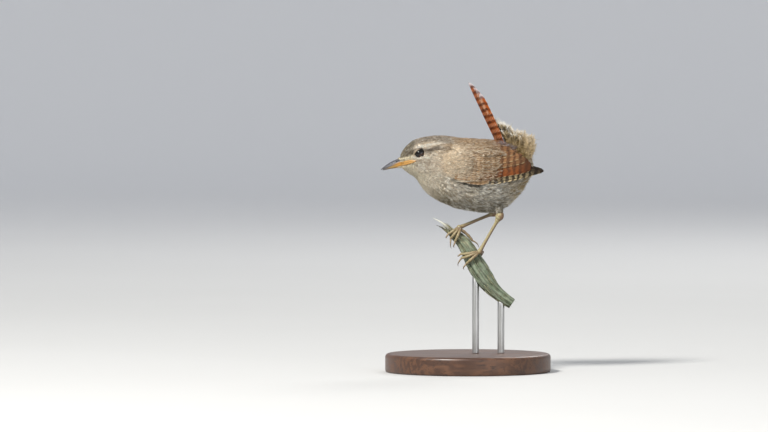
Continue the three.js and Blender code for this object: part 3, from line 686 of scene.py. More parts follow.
def marks(p):
    """Base colour at points of the body, in millimetres."""
    p = np.asarray(p, float)
    x, y, z = p[..., 0], p[..., 1], p[..., 2]
    low = along(BODY_LOW, x)
    rise = np.clip((z - low) / (along(BODY_TOP, x) - low), 0, 1)
    large, small = noise3(p, 0.35, 3), noise3(p, 1.1, 5)
    # body: loose pale and dark down below, barred flanks, a brown back, with painted shade on the lower
    # breast and the underside, a painted shadow under the wing's front edge and a painted highlight on the
    # flank
    mottle = ease(0.5, 0.85, noise3(p, 0.8, 12)) * ease(0.75, 0.3, rise)
    flank = ease(3, 9, x) * ease(0.04, 0.25, rise) * ease(0.66, 0.5, rise)
    wave = np.sin((x * 0.8 - z * 0.75) * 2.3 + 4 * large) * (0.6 + 0.4 * small)
    patch = noise3(p * [0.8, 1, 1], 0.85, 81)
    fluffy = ease(0.72, 0.5, rise) * ease(-24, -8, x) * ease(24, 18, x)
    # pale and dark flecks on the lower body: real marks of the down, partly painted highlights on tufts and
    # painted shade between them
    pale_fluff_and_highlight = noise3(p * [0.5, 1, 1], 1.7, 71) * ease(0.7, 0.45, rise) * ease(-14, 0, x)
    dark_marks_and_gap_shade = ease(0.58, 0.86, noise3(p * [0.6, 1, 1], 2.1, 72)) * ease(0.75, 0.5, rise) * ease(-16, 2, x)
    # white down on the flank below the wing, partly a painted highlight
    lit = ease(3, 7, x) * ease(19, 15, x) * ease(76, 80, z) * ease(85, 83, z)
    # painted shadow under the wing's front edge
    painted_wing_shadow = band(x, z, WING_EDGE, 0.5, 0.35) * ease(1.0, 3.0, np.abs(y))
    bars = ease(0.55, 0.8, 0.5 + 0.5 * np.sin(x * 2.9 + 4 * large)) * ease(-8, 6, x)
    back = mix(mix(MANTLE, MANTLE_BAR, 0.45 * bars), RUMP, ease(8, 18, x))
    colour = painted(
        mix(BELLY, BREAST, ease(10, -6, x)),
        (THROAT, ease(-14, -22, x) * ease(0.62, 0.3, rise)),
        # painted shade: the lower breast darker, broken up by noise
        (BREAST * 0.9, ease(0.45, 0.1, rise) * ease(-22, -10, x) * ease(6, -4, x) * large),
        (NECK_SIDE, ease(0.36, 0.56, rise + 0.05 * (large - 0.5))),
        ([0.6, 0.56, 0.5], mottle * along([[-20, 0.3], [-5, 0.5], [12, 0.8]], x)),
        (FLANK_DARK, flank * ease(0.45, 0.8, 0.5 + 0.5 * wave) * 0.85),
        # painted shade: the underside darker towards the bottom, in two steps
        ([0.64, 0.62, 0.52], ease(0.3, 0.04, rise) * ease(-20, -10, x)),
        ([0.4, 0.38, 0.3], ease(0.2, 0.03, rise) * ease(-18, -6, x)),
        (DOWN_WHITE, ease(0.58, 0.82, patch) * fluffy * 0.6),
        ([0.55, 0.54, 0.5], ease(0.42, 0.18, patch) * fluffy * 0.7),
        (VENT, ease(13, 22, x) * ease(0.7, 0.3, rise) * 0.7),
        # pale flecks partly painted highlights on tufts, dark flecks partly painted shade between them
        (DOWN_WHITE, ease(0.56, 0.8, pale_fluff_and_highlight) * 0.75),
        (FLANK_DARK, dark_marks_and_gap_shade * 0.75),
        # white down on the flank below the wing, partly a painted highlight
        (DOWN_WHITE, lit * ease(0.4, 0.7, small) * 0.6),
        # painted shadow under the wing's front edge
        (FLANK_DARK * 0.6, painted_wing_shadow * 0.85),
        (back, ease(0.66, 0.86, rise + 0.06 * (large - 0.5)) * ease(-16, -6, x)),
    )
    # head
    cheek = mix(CHEEK_PALE, CHEEK_DARK, ease(0.42, 0.72, small) * 0.8)
    cheek = mix(cheek, NECK_SIDE, ease(-19, -12, x) * 0.5)
    on_cheek = ease(-7, -13, x) * ease(86, 89, z) * ease(99.5, 97.5, z) * ease(-24.5, -21, x)
    crown = ease(-0.5, 0.7, z - along(CROWN_LINE, x)) * ease(-3, -9, x)
    lores = ease(-22.8, -25.6, x) * ease(90.2, 91.5, z) * ease(95.6, 94.6, z)
    forehead = ease(-22.6, -24.6, x) * ease(94.2, 95.2, z + 0.35 * np.maximum(-24 - x, 0))
    broken = 0.55 + 0.45 * ease(0.35, 0.6, noise3(p, 1.5, 60))
    bright = along([[-26.5, 0.1], [-23, 0.4], [-20.4, 0.88], [-13, 0.88], [-9, 0.25]], x)
    colour = painted(
        colour,
        (cheek, on_cheek),
        (mix(CROWN, CROWN * 0.72, ease(0.5, 0.8, small)), crown),
        (LORES, lores * 0.9),
        (mix(FOREHEAD, CHEEK_DARK, ease(0.5, 0.85, small) * 0.25), forehead * 0.92),
        (EYE_STRIPE, band(x, z, STRIPE_BEFORE_EYE, 0.6) * 0.45),
        (EYE_STRIPE, band(x, z, STRIPE_BEHIND_EYE, 0.85) * 0.85),
        (EYE_STRIPE, band(x, z, STRIPE_END, 0.6) * 0.35),
        (BROW, band(x, z, BROW_LINE, 0.46, 0.32) * bright * broken),
        (BROW, band(x, z, PALE_UNDER_EYE, 0.4, 0.3) * 0.6),
    )
    # short pale and dark streaks along the lie of the feathers, then the mouth's soft skin
    streak = noise3(p * [0.42, 1, 1], 2.3, 61)
    strong = along([[-30, 0.3], [-25, 0.7], [-14, 1.0], [-8, 0.8], [0, 0.9], [12, 1.0]], x)
    strong = strong * np.where(rise < 0.3, along([[-26, 0.45], [-12, 0.85], [0, 1]], x), 1)
    by_mouth = ease(1.0, 0.7, np.abs(z - along(GAPE_LINE, x))) * ease(-25.5, -27.0, x)
    colour = painted(
        colour,
        (mix(colour * 1.25, DOWN_WHITE, 0.35), ease(0.66, 0.92, streak) * 0.75 * strong),
        ([0.56, 0.52, 0.46], ease(0.34, 0.1, streak) * 0.75 * strong),
        (GAPE, by_mouth),
    )
    return np.clip(colour, 0, 1)


DOWN = down_material()
MATERIALS = {}


# Skin: head, neck, torso and thighs as one
def tube_grid(path, radius, sides):
    """Rings of points round a path, as rows by turn."""
    path = np.asarray(path, float)
    ahead = unit(np.gradient(path, axis=0))
    normal = unit(np.cross(ahead[0], [0.31, 0.95, 0.07]))
    rows = []
    for i, way in enumerate(ahead):
        normal = unit(normal - way * np.dot(normal, way))
        other = np.cross(way, normal)
        turns = turns_of(sides)
        ring = path[i] + radius[i] * (np.cos(turns)[:, None] * normal + np.sin(turns)[:, None] * other)
        rows.append(ring)
    return np.array(rows)


LEGS = {
    "left": {"thigh": (11.2, -6.4, 78.5), "ankle": (13.7, -5.8, 67.8)},
    "right": {"thigh": (10.8, 6.6, 78.5), "ankle": (11.4, 6.8, 68.9)},
}


def thigh_grid(side, inset):
    leg = LEGS[side]
    start, end = np.array(leg["thigh"]), np.array(leg["ankle"]) + [0, 0, 1.4]
    path = catmull([start, start + (end - start) * 0.55, end], 16)
    share = np.linspace(0, 1, 17)
    radius = 4.6 + (1.8 - 4.6) * share**1.2 - inset * (1 - 0.6 * share)
    return tube_grid(path, radius, 24)


THIGHS = {side: Surface(thigh_grid(side, 1.3)) for side in LEGS}


def closed_grid(points):
    rows, sides = points.shape[:2]
    return points.reshape(-1, 3), ring_faces(rows, sides)


# the skin has the coat's colours painted darker, as shade between the feathers
SKIN_VOXEL, SKIN_PAINTED_SHADE = 0.45, 0.8


def make_skin():
    parts = [closed_grid(SKIN.points)] + [closed_grid(thigh.points) for thigh in THIGHS.values()]
    skin = new_object("skin", *joined(parts), DOWN, body=None)
    outward(skin)
    remesh = skin.modifiers.new("whole", "REMESH")
    remesh.mode, remesh.voxel_size = "VOXEL", SKIN_VOXEL * MM
    smooth = skin.modifiers.new("soften", "SMOOTH")
    smooth.iterations, smooth.factor = 4, 0.5
    keep_result(skin)
    smooth_faces(skin.data)
    # painted shade: darker than the coat at the same place
    set_colour(skin, "tint", marks(vertex_places(skin.data)) * SKIN_PAINTED_SHADE)
    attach(skin, "root")
    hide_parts("head", "neck", "torso", "thigh_left", "thigh_right")


make_skin()


# Coat of head, neck, body and thighs
WING_SIDE_VIEW = [[-5, 84.5], [20, 86.5]]  # front and rear of what a wing hides, with its lower edge


def under_wing(p):
    """1 where a closed wing hides the coat."""
    x, z = p[:, 0], p[:, 2]
    low = along(WING_SIDE_VIEW, x) + 2.0
    return ease(-3, 0, x) * ease(22, 19, x) * ease(low, low + 1, z) * ease(96.5, 95.5, z)


def coat_sizes(x):
    """Length, width of vanes and the coat's fine tufts by place along the body."""
    length = along([[-30, 0.9], [-26, 1.4], [-22, 2.2], [-16, 3.0], [-8, 4.2], [5, 5.0], [20, 5.6]], x)
    width = along([[-30, 0.4], [-26, 0.6], [-22, 0.9], [-16, 1.3], [-8, 1.7], [5, 2.0], [20, 2.2]], x)
    return length, width


EYE_PLACE = (-21.4, 95.5)


def eye_gap(p, reach):
    far = np.hypot(p[:, 0] - EYE_PLACE[0], (p[:, 2] - EYE_PLACE[1]) * 1.05)
    return np.where(np.abs(p[:, 1]) > 2.5, ease(reach - 0.3, reach + 0.2, far), 1.0)


def bill_gap(p):
    """0 where the bill leaves the face and along the mouth's soft corners."""
    off = np.abs(p[:, 2] - along(GAPE_LINE, p[:, 0]))
    half = along([[-29, 0.85], [-26, 0.75], [-22.8, 0.0]], p[:, 0])
    lips = np.where((p[:, 0] < -22.7) & (np.abs(p[:, 1]) > 0.8), ease(half - 0.15, half + 0.15, off), 1.0)
    return ease(-29.6, -29.2, p[:, 0]) * lips


def vane_density(p):
    length, width = coat_sizes(p[:, 0])
    return 7.0 / (length * width) * (1 - 0.85 * under_wing(p)) * eye_gap(p, 2.3) * bill_gap(p)


def tuft_density(p):
    per = along([[-30, 40], [-24, 36], [-18, 25], [-8, 15.5], [6, 13.5], [27, 13]], p[:, 0])
    return per * (1 - 0.97 * under_wing(p)) * eye_gap(p, 2.2) * bill_gap(p)


def feather_tints(base, u, v, per, rng, spread=0.08, root=0.6, fringe=0.08, foot=None):
    """A feather's colours: darker at its root, a little lighter at its edge. Its foot may have
    the colour of its own place."""
    each = 1 + spread * rng.normal(size=(len(base), 1))
    each = each * (1 + 0.03 * rng.normal(size=(len(base), 1)) * np.array([1, 0, -1]))
    tint = np.repeat(base * each, per, axis=0)
    if foot is not None:
        tint = mix(np.repeat(foot * each, per, axis=0), tint, ease(0.35, 0.75, v))
    shade = root + (1 - root) * ease(0.05, 0.65, v) + fringe * ease(0.7, 1, v) + 0.06 * np.abs(u)
    return np.clip(tint * shade[:, None], 0, 1)


REGIONS = {"head": "crown", "breast": "throat", "belly": "belly", "back": "crown"}  # and their slots


def region_at(p):
    """The coat's region at each point, as its number in REGIONS."""
    x, z = p[:, 0], p[:, 2]
    return np.select([x < -14, (x < 0) & (z < 92), (x >= 0) & (z < 86)], [0, 1, 2], 3)


def strand_form(rings=3, thick=0.05):
    return dict(rings=rings, sides=3, thick=thick, cup=0.0)


def varied(base, rng, dark, pale_from, pale):
    """Some tufts darker and some paler than their place."""
    pick = rng.uniform(size=(len(base), 1))
    return np.where(pick < dark, base * 0.68, np.where(pick > pale_from, mix(base, DOWN_WHITE, pale), base))


def sow(pile, surface, at, ranges, rng, colours, form, sizes, hook=0.0, flat=True, **shading):
    """Feathers at places of a surface: sizes are their length, width, height and lean,
    colours(tips) their colours, and ranges the shares of the surface that the piece covers."""
    s, t = at
    verts, faces, u, v, tips = feathers(surface, s, t, *sizes, hook=hook, **form)
    per = len(verts) // len(s)
    tint = feather_tints(colours(tips), 0 * u if flat else u, v, per, rng, **shading)
    pile.add(verts, faces, tint, None, bake_places(s, t, u, v, *ranges, per))


def grow_vanes(pile, at, ranges, rng):
    """Broad short feathers that close the coat below its tufts."""
    p = SKIN.read(SKIN.points, *at)
    length, width = coat_sizes(p[:, 0])
    count = len(p)
    length = length * rng.uniform(0.85, 1.15, count)
    width = width * rng.uniform(0.85, 1.15, count)
    height = SKIN.read(DEPTH, *at) * rng.uniform(0.5, 0.78, count)
    form = dict(rings=3, sides=4, thick=0.1, cup=0.14)
    sow(
        pile, SKIN, at, ranges, rng, marks, form, (length, width, height, rng.normal(0, 7, count)), flat=False
    )


def grow_tufts(pile, at, ranges, rng, rings):
    """Fine strands, loose on the lower body."""
    p = SKIN.read(SKIN.points, *at)
    x, count = p[:, 0], len(p)
    length = np.maximum(coat_sizes(x)[0] * rng.uniform(0.6, 1.15, count), 0.8)
    width = along([[-30, 0.08], [-22, 0.1], [-8, 0.14], [10, 0.165]], x) * rng.uniform(0.75, 1.3, count)
    height = SKIN.read(DEPTH, *at) * rng.uniform(0.8, 1.12, count)
    lean = rng.normal(0, 13, count)
    loose = along([[-24, 0.0], [-8, 0.25], [4, 0.7], [14, 1.1], [26, 1.0]], x) * ease(94, 80, p[:, 2])
    hook = loose * rng.uniform(0, 1.0, count) ** 2 + 0.06
    shading = dict(root=0.58, fringe=0.1, foot=marks(p))

    def colours(tips):
        return varied(marks(tips), rng, 0.15, 0.84, 0.3)

    sow(
        pile, SKIN, at, ranges, rng, colours, strand_form(rings), (length, width, height, lean), hook,
        **shading
    )


DEPTH = depth_grid * near_end


def make_coat():
    layers = [SKIN.scatter(vane_density, 60000), SKIN.scatter(tuft_density, 260000)]
    seed = 10
    for number, (region, slot) in enumerate(REGIONS.items()):
        for side, half in (("left", (0, 0.5)), ("right", (0.5, 1))):
            chosen = []
            for s, t in layers:
                keep = region_at(SKIN.read(SKIN.points, s, t)) == number
                keep &= (t >= half[0]) & (t < half[1])
                chosen.append((s[keep], t[keep]))
            both = np.concatenate([s for s, t in chosen])
            ranges = ((both.min(), both.max()), half)
            pile = Pile()
            grow_vanes(pile, chosen[0], ranges, default_rng(seed + 1))
            grow_tufts(pile, chosen[1], ranges, default_rng(seed + 2), 2 if region == "head" else 3)
            seed += 2
            pile.build(f"coat_{region}_{side}", DOWN, slot)


def make_thigh_coat():
    for side, thigh in THIGHS.items():
        s, t = thigh.scatter(lambda p: np.full(len(p), 15.0), 18000, (0.0, 0.97))
        rng, count = default_rng(91), len(s)
        length = (4.8 - 1.5 * s) * rng.uniform(0.6, 1.25, count)
        height = (2.0 - 0.8 * s) * rng.uniform(0.7, 1.15, count)
        sizes = (length, 0.2 - 0.08 * s, height, rng.normal(0, 15, count))
        hook = 0.3 * rng.uniform(size=count)

        def colours(tips):
            # the body's marks mixed with a slightly darker belly colour, as painted shade on the thigh
            return mix(marks(tips), BELLY * 0.85, 0.4) * rng.uniform(0.7, 1.15, (count, 1))

        pile = Pile()
        sow(pile, thigh, (s, t), ((0, 0.93), (0, 1)), rng, colours, strand_form(thick=0.07), sizes, hook)
        pile.build(f"coat_thigh_{side}", DOWN, "belly")


make_coat()
make_thigh_coat()

OUTER = BVHTree.FromPolygons(
    [tuple(p) for p in (axis_line[:, None] + turn_ways[None] * outer_radius[..., None]).reshape(-1, 3)],
    [tuple(q) for q in closed_grid(SKIN.points)[1][0].tolist()],
)


# Long feathers
LONG = [[0, 0.32], [0.1, 0.55], [0.3, 0.86], [0.6, 1.0], [0.82, 0.97], [0.92, 0.8], [0.97, 0.55], [1, 0.1]]
POINTED = [[0, 0.32], [0.1, 0.55], [0.3, 0.88], [0.6, 1.0], [0.8, 0.82], [0.92, 0.5], [1, 0.06]]
ROUND = [[0, 0.4], [0.2, 0.75], [0.45, 1.0], [0.7, 0.97], [0.86, 0.76], [0.95, 0.48], [1, 0.1]]
ACROSS = np.array([-1, -0.85, -0.55, -0.25, -0.06, 0, 0.06, 0.25, 0.55, 0.85, 1])


def plume(
    place, root, tip, width, rng, outline=LONG, height=0.0, lift=0.0, roll=0.0, bend=0.0, shaft=0.0,
    thick=0.16, camber=0.05, steps=26, ragged=0.05, ridge=0.09,
):
    """One long feather on a surface, place(along, across, height): two faces, a raised shaft
    and slightly ragged edges. Returns vertices, faces and each vertex's place on it."""
    root, tip = np.asarray(root, float), np.asarray(tip, float)
    run = tip - root
    length = np.linalg.norm(run)
    side = np.array([-run[1], run[0]]) / length
    share = 1 - (1 - np.linspace(0, 1, steps + 1)) ** 1.25
    half = width / 2 * np.interp(share, *np.transpose(outline))
    wave = 1 + ragged * rng.normal(size=(steps + 1, 2)) * ease(0.2, 0.5, share)[:, None]
    u = shaft * ease(0, 0.4, share)[:, None] + ACROSS * np.where(ACROSS > 0, 1 - shaft, 1 + shaft)
    w = u * half[:, None]
    w[:, 0] *= wave[:, 0]
    w[:, -1] *= wave[:, 1]
    middle = root + run * share[:, None] + side * (bend * 4 * share * (1 - share))[:, None]
    a = middle[:, 0][:, None] + side[0] * w
    b = middle[:, 1][:, None] + side[1] * w
    rise = height + lift * share[:, None] - roll * w - camber * width * u**2
    rise = rise + 0.5 * thick * (1 - 0.7 * u**2)
    rachis = ridge * (1 - 0.8 * share)[:, None] * (np.abs(ACROSS) < 0.01)
    top = place(a, b, rise + rachis)
    low = place(a, b, rise - thick * (1 - 0.7 * u**2))
    ring = np.concatenate([top, low[:, -2:0:-1]], axis=1)
    across = np.broadcast_to(ACROSS, u.shape)
    across = np.concatenate([across, across[:, -2:0:-1]], axis=1)
    sides = ring.shape[1]
    far = np.broadcast_to((length * share)[:, None], across.shape)
    vane = np.stack([across, far, length - far], axis=-1).reshape(-1, 3)
    return ring.reshape(-1, 3), ring_faces(steps + 1, sides), vane


def hairs(start, control, end, width, rings=3):
    """Thin curved hairs with three sides, one for each row of the arrays."""
    start, control, end = (np.asarray(a, float) for a in (start, control, end))
    share = np.linspace(0, 1, rings + 1)[None, :, None]
    p = (
        start[:, None] * (1 - share) ** 2 + 2 * control[:, None] * share * (1 - share)
        + end[:, None] * share**2
    )
    ahead = unit(np.gradient(p, axis=1))
    side = unit(np.cross(ahead, [0.37, 0.19, 0.91]))
    other = np.cross(ahead, side)
    taper = np.interp(np.linspace(0, 1, rings + 1), [0, 0.4, 0.8, 1], [0.8, 1, 0.6, 0.12])[None, :, None]
    half = np.broadcast_to(np.asarray(width, float), (len(start),))[:, None, None] / 2 * taper
    ring = [p + half * (math.cos(a) * side + math.sin(a) * other) for a in turns_of(3)]
    verts = np.stack(ring, axis=2)[:, :-1].reshape(len(start), -1, 3)
    verts = np.concatenate([verts, p[:, -1:]], axis=1)
    return verts.reshape(-1, 3), many_strands(len(start), rings, 3), verts.shape[1]


# Wings
WING_ENVELOPE = [  # stations: x, middle height, half height, half breadth
    [-14, 88.2, 14.6, 9.6],
    [-6, 87.0, 15.4, 12.0],
    [4, 86.0, 15.9, 13.3],
    [12, 86.2, 15.4, 13.1],
    [20, 87.5, 13.2, 11.0],
    [28, 88.7, 9.8, 7.4],
    [36, 88.6, 6.0, 3.6],
]


def smooth_table(rows, steps=200):
    rows = np.asarray(rows, float)
    x = np.linspace(rows[0, 0], rows[-1, 0], steps)
    out = [x]
    for k in range(1, rows.shape[1]):
        line = np.interp(x, rows[:, 0], rows[:, k])
        reach = steps // 14
        kernel = np.hanning(2 * reach + 1)
        padded = np.pad(line, reach, mode="reflect", reflect_type="odd")
        out.append(np.convolve(padded, kernel / kernel.sum(), mode="valid"))
    return np.stack(out, axis=1)


WING_FORM = smooth_table(WING_ENVELOPE)


def wing_place(x, arc, height):
    """A point on the closed left wing: x, arc up from its side, height above it."""
    centre, high, wide = (along(WING_FORM, x, k) for k in (1, 2, 3))
    turn = arc / high
    normal = unit(np.stack([0 * turn, -np.cos(turn) / wide, np.sin(turn) / high], axis=-1))
    point = np.stack([x + 0 * turn, -wide * np.cos(turn), centre + high * np.sin(turn)], axis=-1)
    return point + normal * np.asarray(height)[..., None]


def wing_flat(x, z):
    centre, high = along(WING_FORM, x, 1), along(WING_FORM, x, 2)
    return x, high * math.asin(max(-0.97, min(0.97, (z - centre) / high)))


# Tiers of the wing: count, roots and tips of the lowest and highest feather, and their form
WING_TIERS = [
    dict(
        kind="primary", count=8, roots=[[1.5, 82.9], [4.5, 86.0]], tips=[[23.4, 85.2], [30.6, 88.7]],
        bow=5.8, width=[2.4, 3.2], height=0.0, shaft=-0.35, roll=0.15, outline=POINTED,
    ),
    dict(
        kind="secondary", count=8, roots=[[2.5, 86.0], [3.5, 90.2]], tips=[[27.2, 88.4], [25.8, 92.4]],
        bow=0.8, width=[2.8, 3.5], height=0.3, shaft=-0.3, roll=0.16,
    ),
    dict(
        kind="tertial", count=4, roots=[[3.5, 90.0], [2.5, 95.6]], tips=[[25.0, 92.6], [18.6, 97.4]],
        width=[4.0, 4.6], height=0.55, shaft=-0.1, roll=0.14, jitter=0.4,
    ),
    dict(
        kind="covert", count=7, roots=[[-4.5, 83.9], [-2.0, 86.4]], tips=[[8.4, 82.5], [11.0, 85.2]],
        width=[1.7, 2.2], height=0.6, shaft=-0.2, roll=0.15, lift=0.1, outline=ROUND,
    ),
    dict(
        kind="covert", count=13, roots=[[-3.0, 85.2], [-1.0, 95.4]], tips=[[10.8, 85.4], [13.4, 95.6]],
        bow=1.6, width=[1.9, 2.4], height=0.75, shaft=-0.15, roll=0.17, lift=0.15, outline=ROUND,
        jitter=0.55,
    ),
    dict(
        kind="covert", count=15, roots=[[-6.0, 84.6], [-4.5, 96.4]], tips=[[4.6, 84.6], [6.6, 96.6]],
        bow=1.2, width=[1.6, 2.0], height=1.0, roll=0.13, lift=0.1, outline=ROUND, jitter=0.6,
    ),
]
TIER_TINT = {"primary": WEB_DARK * 1.5, "secondary": RUFOUS, "tertial": TERTIAL, "covert": COVERT}

MATERIALS["primary"] = vane_material(
    "primary", WEB_DARK * 0.5, WEB_BUFF, WEB_DARK, 2.5, 0.5, 0.95, 0.1, -1.0, 0.95
)
MATERIALS["secondary"] = vane_material(
    "secondary", RUFOUS_DARK, WEB_BUFF, RUFOUS_DARK, 2.6, 0.46, 0.85, 0.7, -1.0, 0.6
)
MATERIALS["covert"] = vane_material(
    "covert", COVERT_DARK, COVERT_SPOT, COVERT_DARK, 2.1, 0.4, 0.7, 0.62, 0.0, 0.55
)


def wing_piles():
    piles = {"primary": Pile(), "secondary": Pile(), "covert": Pile()}
    rng = default_rng(21)
    for tier in WING_TIERS:
        for i in range(tier["count"]):
            share = i / (tier["count"] - 1)
            root, tip = (mix(*np.array(tier[end]), share) for end in ("roots", "tips"))
            tip[0] += tier.get("bow", 0) * 4 * share * (1 - share) + rng.normal() * tier.get("jitter", 0.2)
            low, high = tier["width"]
            width = low + (high - low) * share
            options = {k: tier[k] for k in ("height", "roll", "lift", "shaft", "outline") if k in tier}
            verts, faces, vane = plume(wing_place, wing_flat(*root), wing_flat(*tip), width, rng, **options)
            vane[:, 1] = verts[:, 0] + rng.normal() * 0.12
            kind = tier["kind"]
            tint = TIER_TINT[kind] * (1 + 0.07 * rng.normal())
            tint = mix(tint, TERTIAL, (0.7 if kind == "secondary" else 0.0) * share**1.5)
            if kind in ("secondary", "tertial"):
                tint = mix(tint, RUFOUS_DARK, ease(20, 27, verts[:, 0]) * 0.45)
            tint = mix(tint, WEB_DARK, ease(20, 27, verts[:, 0]) * (0.95 if kind == "primary" else 0.4))
            if kind == "primary":
                vane[:, 0] *= 1 - 0.4 * ease(23, 28, verts[:, 0])
            if kind == "covert":
                pale = ease(1.1, 0.4, vane[:, 2]) * ease(0.7, 0.1, vane[:, 0]) * rng.uniform(0.0, 0.8)
                tint = mix(tint, COVERT_SPOT, pale)
            piles["secondary" if kind == "tertial" else kind].add(verts, faces, tint, vane)
    return piles


CAPE_FRONT, CAPE_REAR = -12.5, 7.5


def cape_grid():
    """The rounded front of the wing that its small feathers grow on."""
    rows, columns = 36, 30
    grid = []
    for share in np.linspace(0, 1, rows):
        x = CAPE_FRONT + (CAPE_REAR - CAPE_FRONT) * share
        swell = math.sin(math.pi * min(1, share * 0.95)) ** 0.9
        middle, reach = 90.6, 8.6 * math.sin(math.pi * min(0.5, 0.13 + share * 0.5)) ** 0.7 - 1.4 * share
        low, high = wing_flat(x, middle - reach)[1], wing_flat(x, middle + reach)[1]
        s = np.linspace(0, 1, columns)
        height = -1.3 + 2.5 * np.sin(math.pi * s) ** 0.5 * swell
        grid.append(wing_place(np.full(columns, x), low + (high - low) * s, height))
    return np.array(grid)


def closed_sheet(grid, inward):
    """A sheet with a back at a depth inwards (a vector for each point), as a closed part."""
    rows, columns = grid.shape[:2]
    back = grid + inward
    ring = np.concatenate([grid, back[:, ::-1]], axis=1)
    return ring.reshape(-1, 3), ring_faces(rows, 2 * columns)


def wing_marks(p):
    """Colour of the wing's small feathers: from the neck's buff to brown, barred and spotted."""
    x, z = p[:, 0], p[:, 2]
    large, small = noise3(p, 0.4, 51), noise3(p * [0.5, 1, 1], 1.9, 52)
    dots = ease(0.62, 0.85, noise3(p * [0.8, 1, 1], 2.5, 53))
    bars = ease(0.55, 0.85, 0.5 + 0.5 * np.sin(x * 2.6 + 5 * large)) * ease(-4, 5, x)
    streak = 0.5 + 0.5 * np.sin(z * 3.4 + 2 * large)
    edge = ease(88, 84, z) * ease(-9, -5, x) * ease(8, 2, x)
    return painted(
        mix(NECK_SIDE, COVERT * 1.15, ease(-6, 8, x + 4 * (large - 0.5))),
        (COVERT_DARK, bars * 0.38),
        (COVERT_DARK, ease(0.32, 0.1, small) * ease(-9, 0, x) * 0.45),
        (RUFOUS * 1.1, ease(3, 8, x) * ease(89, 85, z) * (0.35 + 0.3 * large)),
        (COVERT_SPOT, dots * (0.6 + 0.35 * ease(-8, -1, x))),
        (COVERT_DARK, ease(0.35, 0.1, streak) * edge * 0.45),
        (COVERT_SPOT, ease(0.6, 0.88, streak) * edge * 0.6),
    )


def down_over(pile, grid, layers, colour_of, seed, reach=0.93, lean=0.0, thin=np.ones_like):
    """Small vanes and tufts over a sheet: each layer is (kind, density, length, width, height)."""
    surface = Surface(grid, round_form=False)
    if surface.normal[..., 1].mean() > 0:
        surface.normal = -surface.normal
    rng = default_rng(seed)
    for kind, density, *limits in layers:
        most = int(density * surface.area.max() * 1.3)
        s, t = surface.scatter(lambda p: density * thin(p[:, 0]), most, (0.0, reach))
        fade = 0.45 + 0.55 * ease(1.0, 0.75, s)
        edge = ease(0.0, 0.12, t) * ease(1.0, 0.88, t)
        length, width, height = (rng.uniform(*pair, len(s)) for pair in limits)
        sizes = (length * fade, width, height * fade * (0.4 + 0.6 * edge), rng.normal(lean, 9, len(s)))

        def colours(tips):
            base = colour_of(tips)
            tufts = varied(base, rng, 0.16, 0.88, 0.35)
            if kind == "tuft":
                return tufts
            return (base + colour_of(tips + [1.1, 0, 0.8]) + colour_of(tips - [1.3, 0, 0.7])) * 0.3

        form = strand_form() if kind == "tuft" else dict(rings=3, sides=4, thick=0.08, cup=0.1)
        foot = colour_of(surface.read(surface.points, s, t)) if kind == "tuft" else None
        sow(pile, surface, (s, t), ((0, reach), (0, 1)), rng, colours, form, sizes, foot=foot)


def veil_grid():
    """Just over the middle and greater coverts."""
    rows, columns = 30, 40
    x = np.linspace(-5.5, 16.0, rows)
    grid = []
    for a in x:
        low, high = wing_flat(a, 83.2 + 0.06 * a)[1], wing_flat(a, 97.2)[1]
        grid.append(wing_place(np.full(columns, a), np.linspace(low, high, columns), np.full(columns, 1.12)))
    return np.array(grid)


def outer_at(x, z, inset=0.0):
    """A point of the coat's outer form on the left side, by its side-view place."""
    hit = OUTER.ray_cast(Vector((x, -60, z)), Vector((0, 1, 0)))
    normal = hit[1] if hit[1].y < 0 else -hit[1]
    return np.array(hit[0] + normal * -inset)


SHOULDER_TOP = [[-9, 102.2], [4, 101.2], [16, 98.8], [18, 97.9]]


def shoulder_grid():
    """The feathers of the back's edge, that lie over the wing's upper edge."""
    rows, columns = 34, 16
    grid = []
    for x in np.linspace(-9.0, 17.5, rows):
        top = along(SHOULDER_TOP, x)
        start = outer_at(x, top - 0.9, 0.45)
        cover = along([[-9, 3.0], [-3, 5.6], [8, 5.2], [18, 2.6]], x)
        end = wing_place(x, wing_flat(x, top - 1.2 - cover)[1], 1.05)
        middle = (start + end) / 2 + unit(np.array([0, -0.75, 1.0])) * 0.75
        share = np.linspace(0, 1, columns)[:, None]
        sunk = 1.9 * ease(-4.0, -9.0, x) + 0.7 * ease(13.5, 17.5, x)
        row = start * (1 - share) ** 2 + 2 * middle * share * (1 - share) + end * share**2
        grid.append(row + sunk * np.array([0, 0.8, -0.55]))
    return np.array(grid)


def shoulder_marks(p):
    """From the back's colour to the wing's."""
    top = along(SHOULDER_TOP, p[:, 0])
    return mix(marks(p), wing_marks(p), ease(1.5, 4.5, top - p[:, 2]))


CAPE_DOWN = [
    ("vane", 1.6, (3.2, 4.2), (1.2, 1.7), (0.3, 0.55)), ("tuft", 15.0, (1.8, 3.2), (0.1, 0.17), (0.45, 0.95))
]
EDGE_DOWN = [
    ("vane", 1.5, (3.4, 4.6), (1.4, 2.0), (0.3, 0.55)), ("tuft", 13.0, (2.4, 4.2), (0.11, 0.18), (0.4, 0.85))
]
VEIL_DOWN = [("tuft", 5.5, (1.6, 3.0), (0.1, 0.17), (0.06, 0.28))]


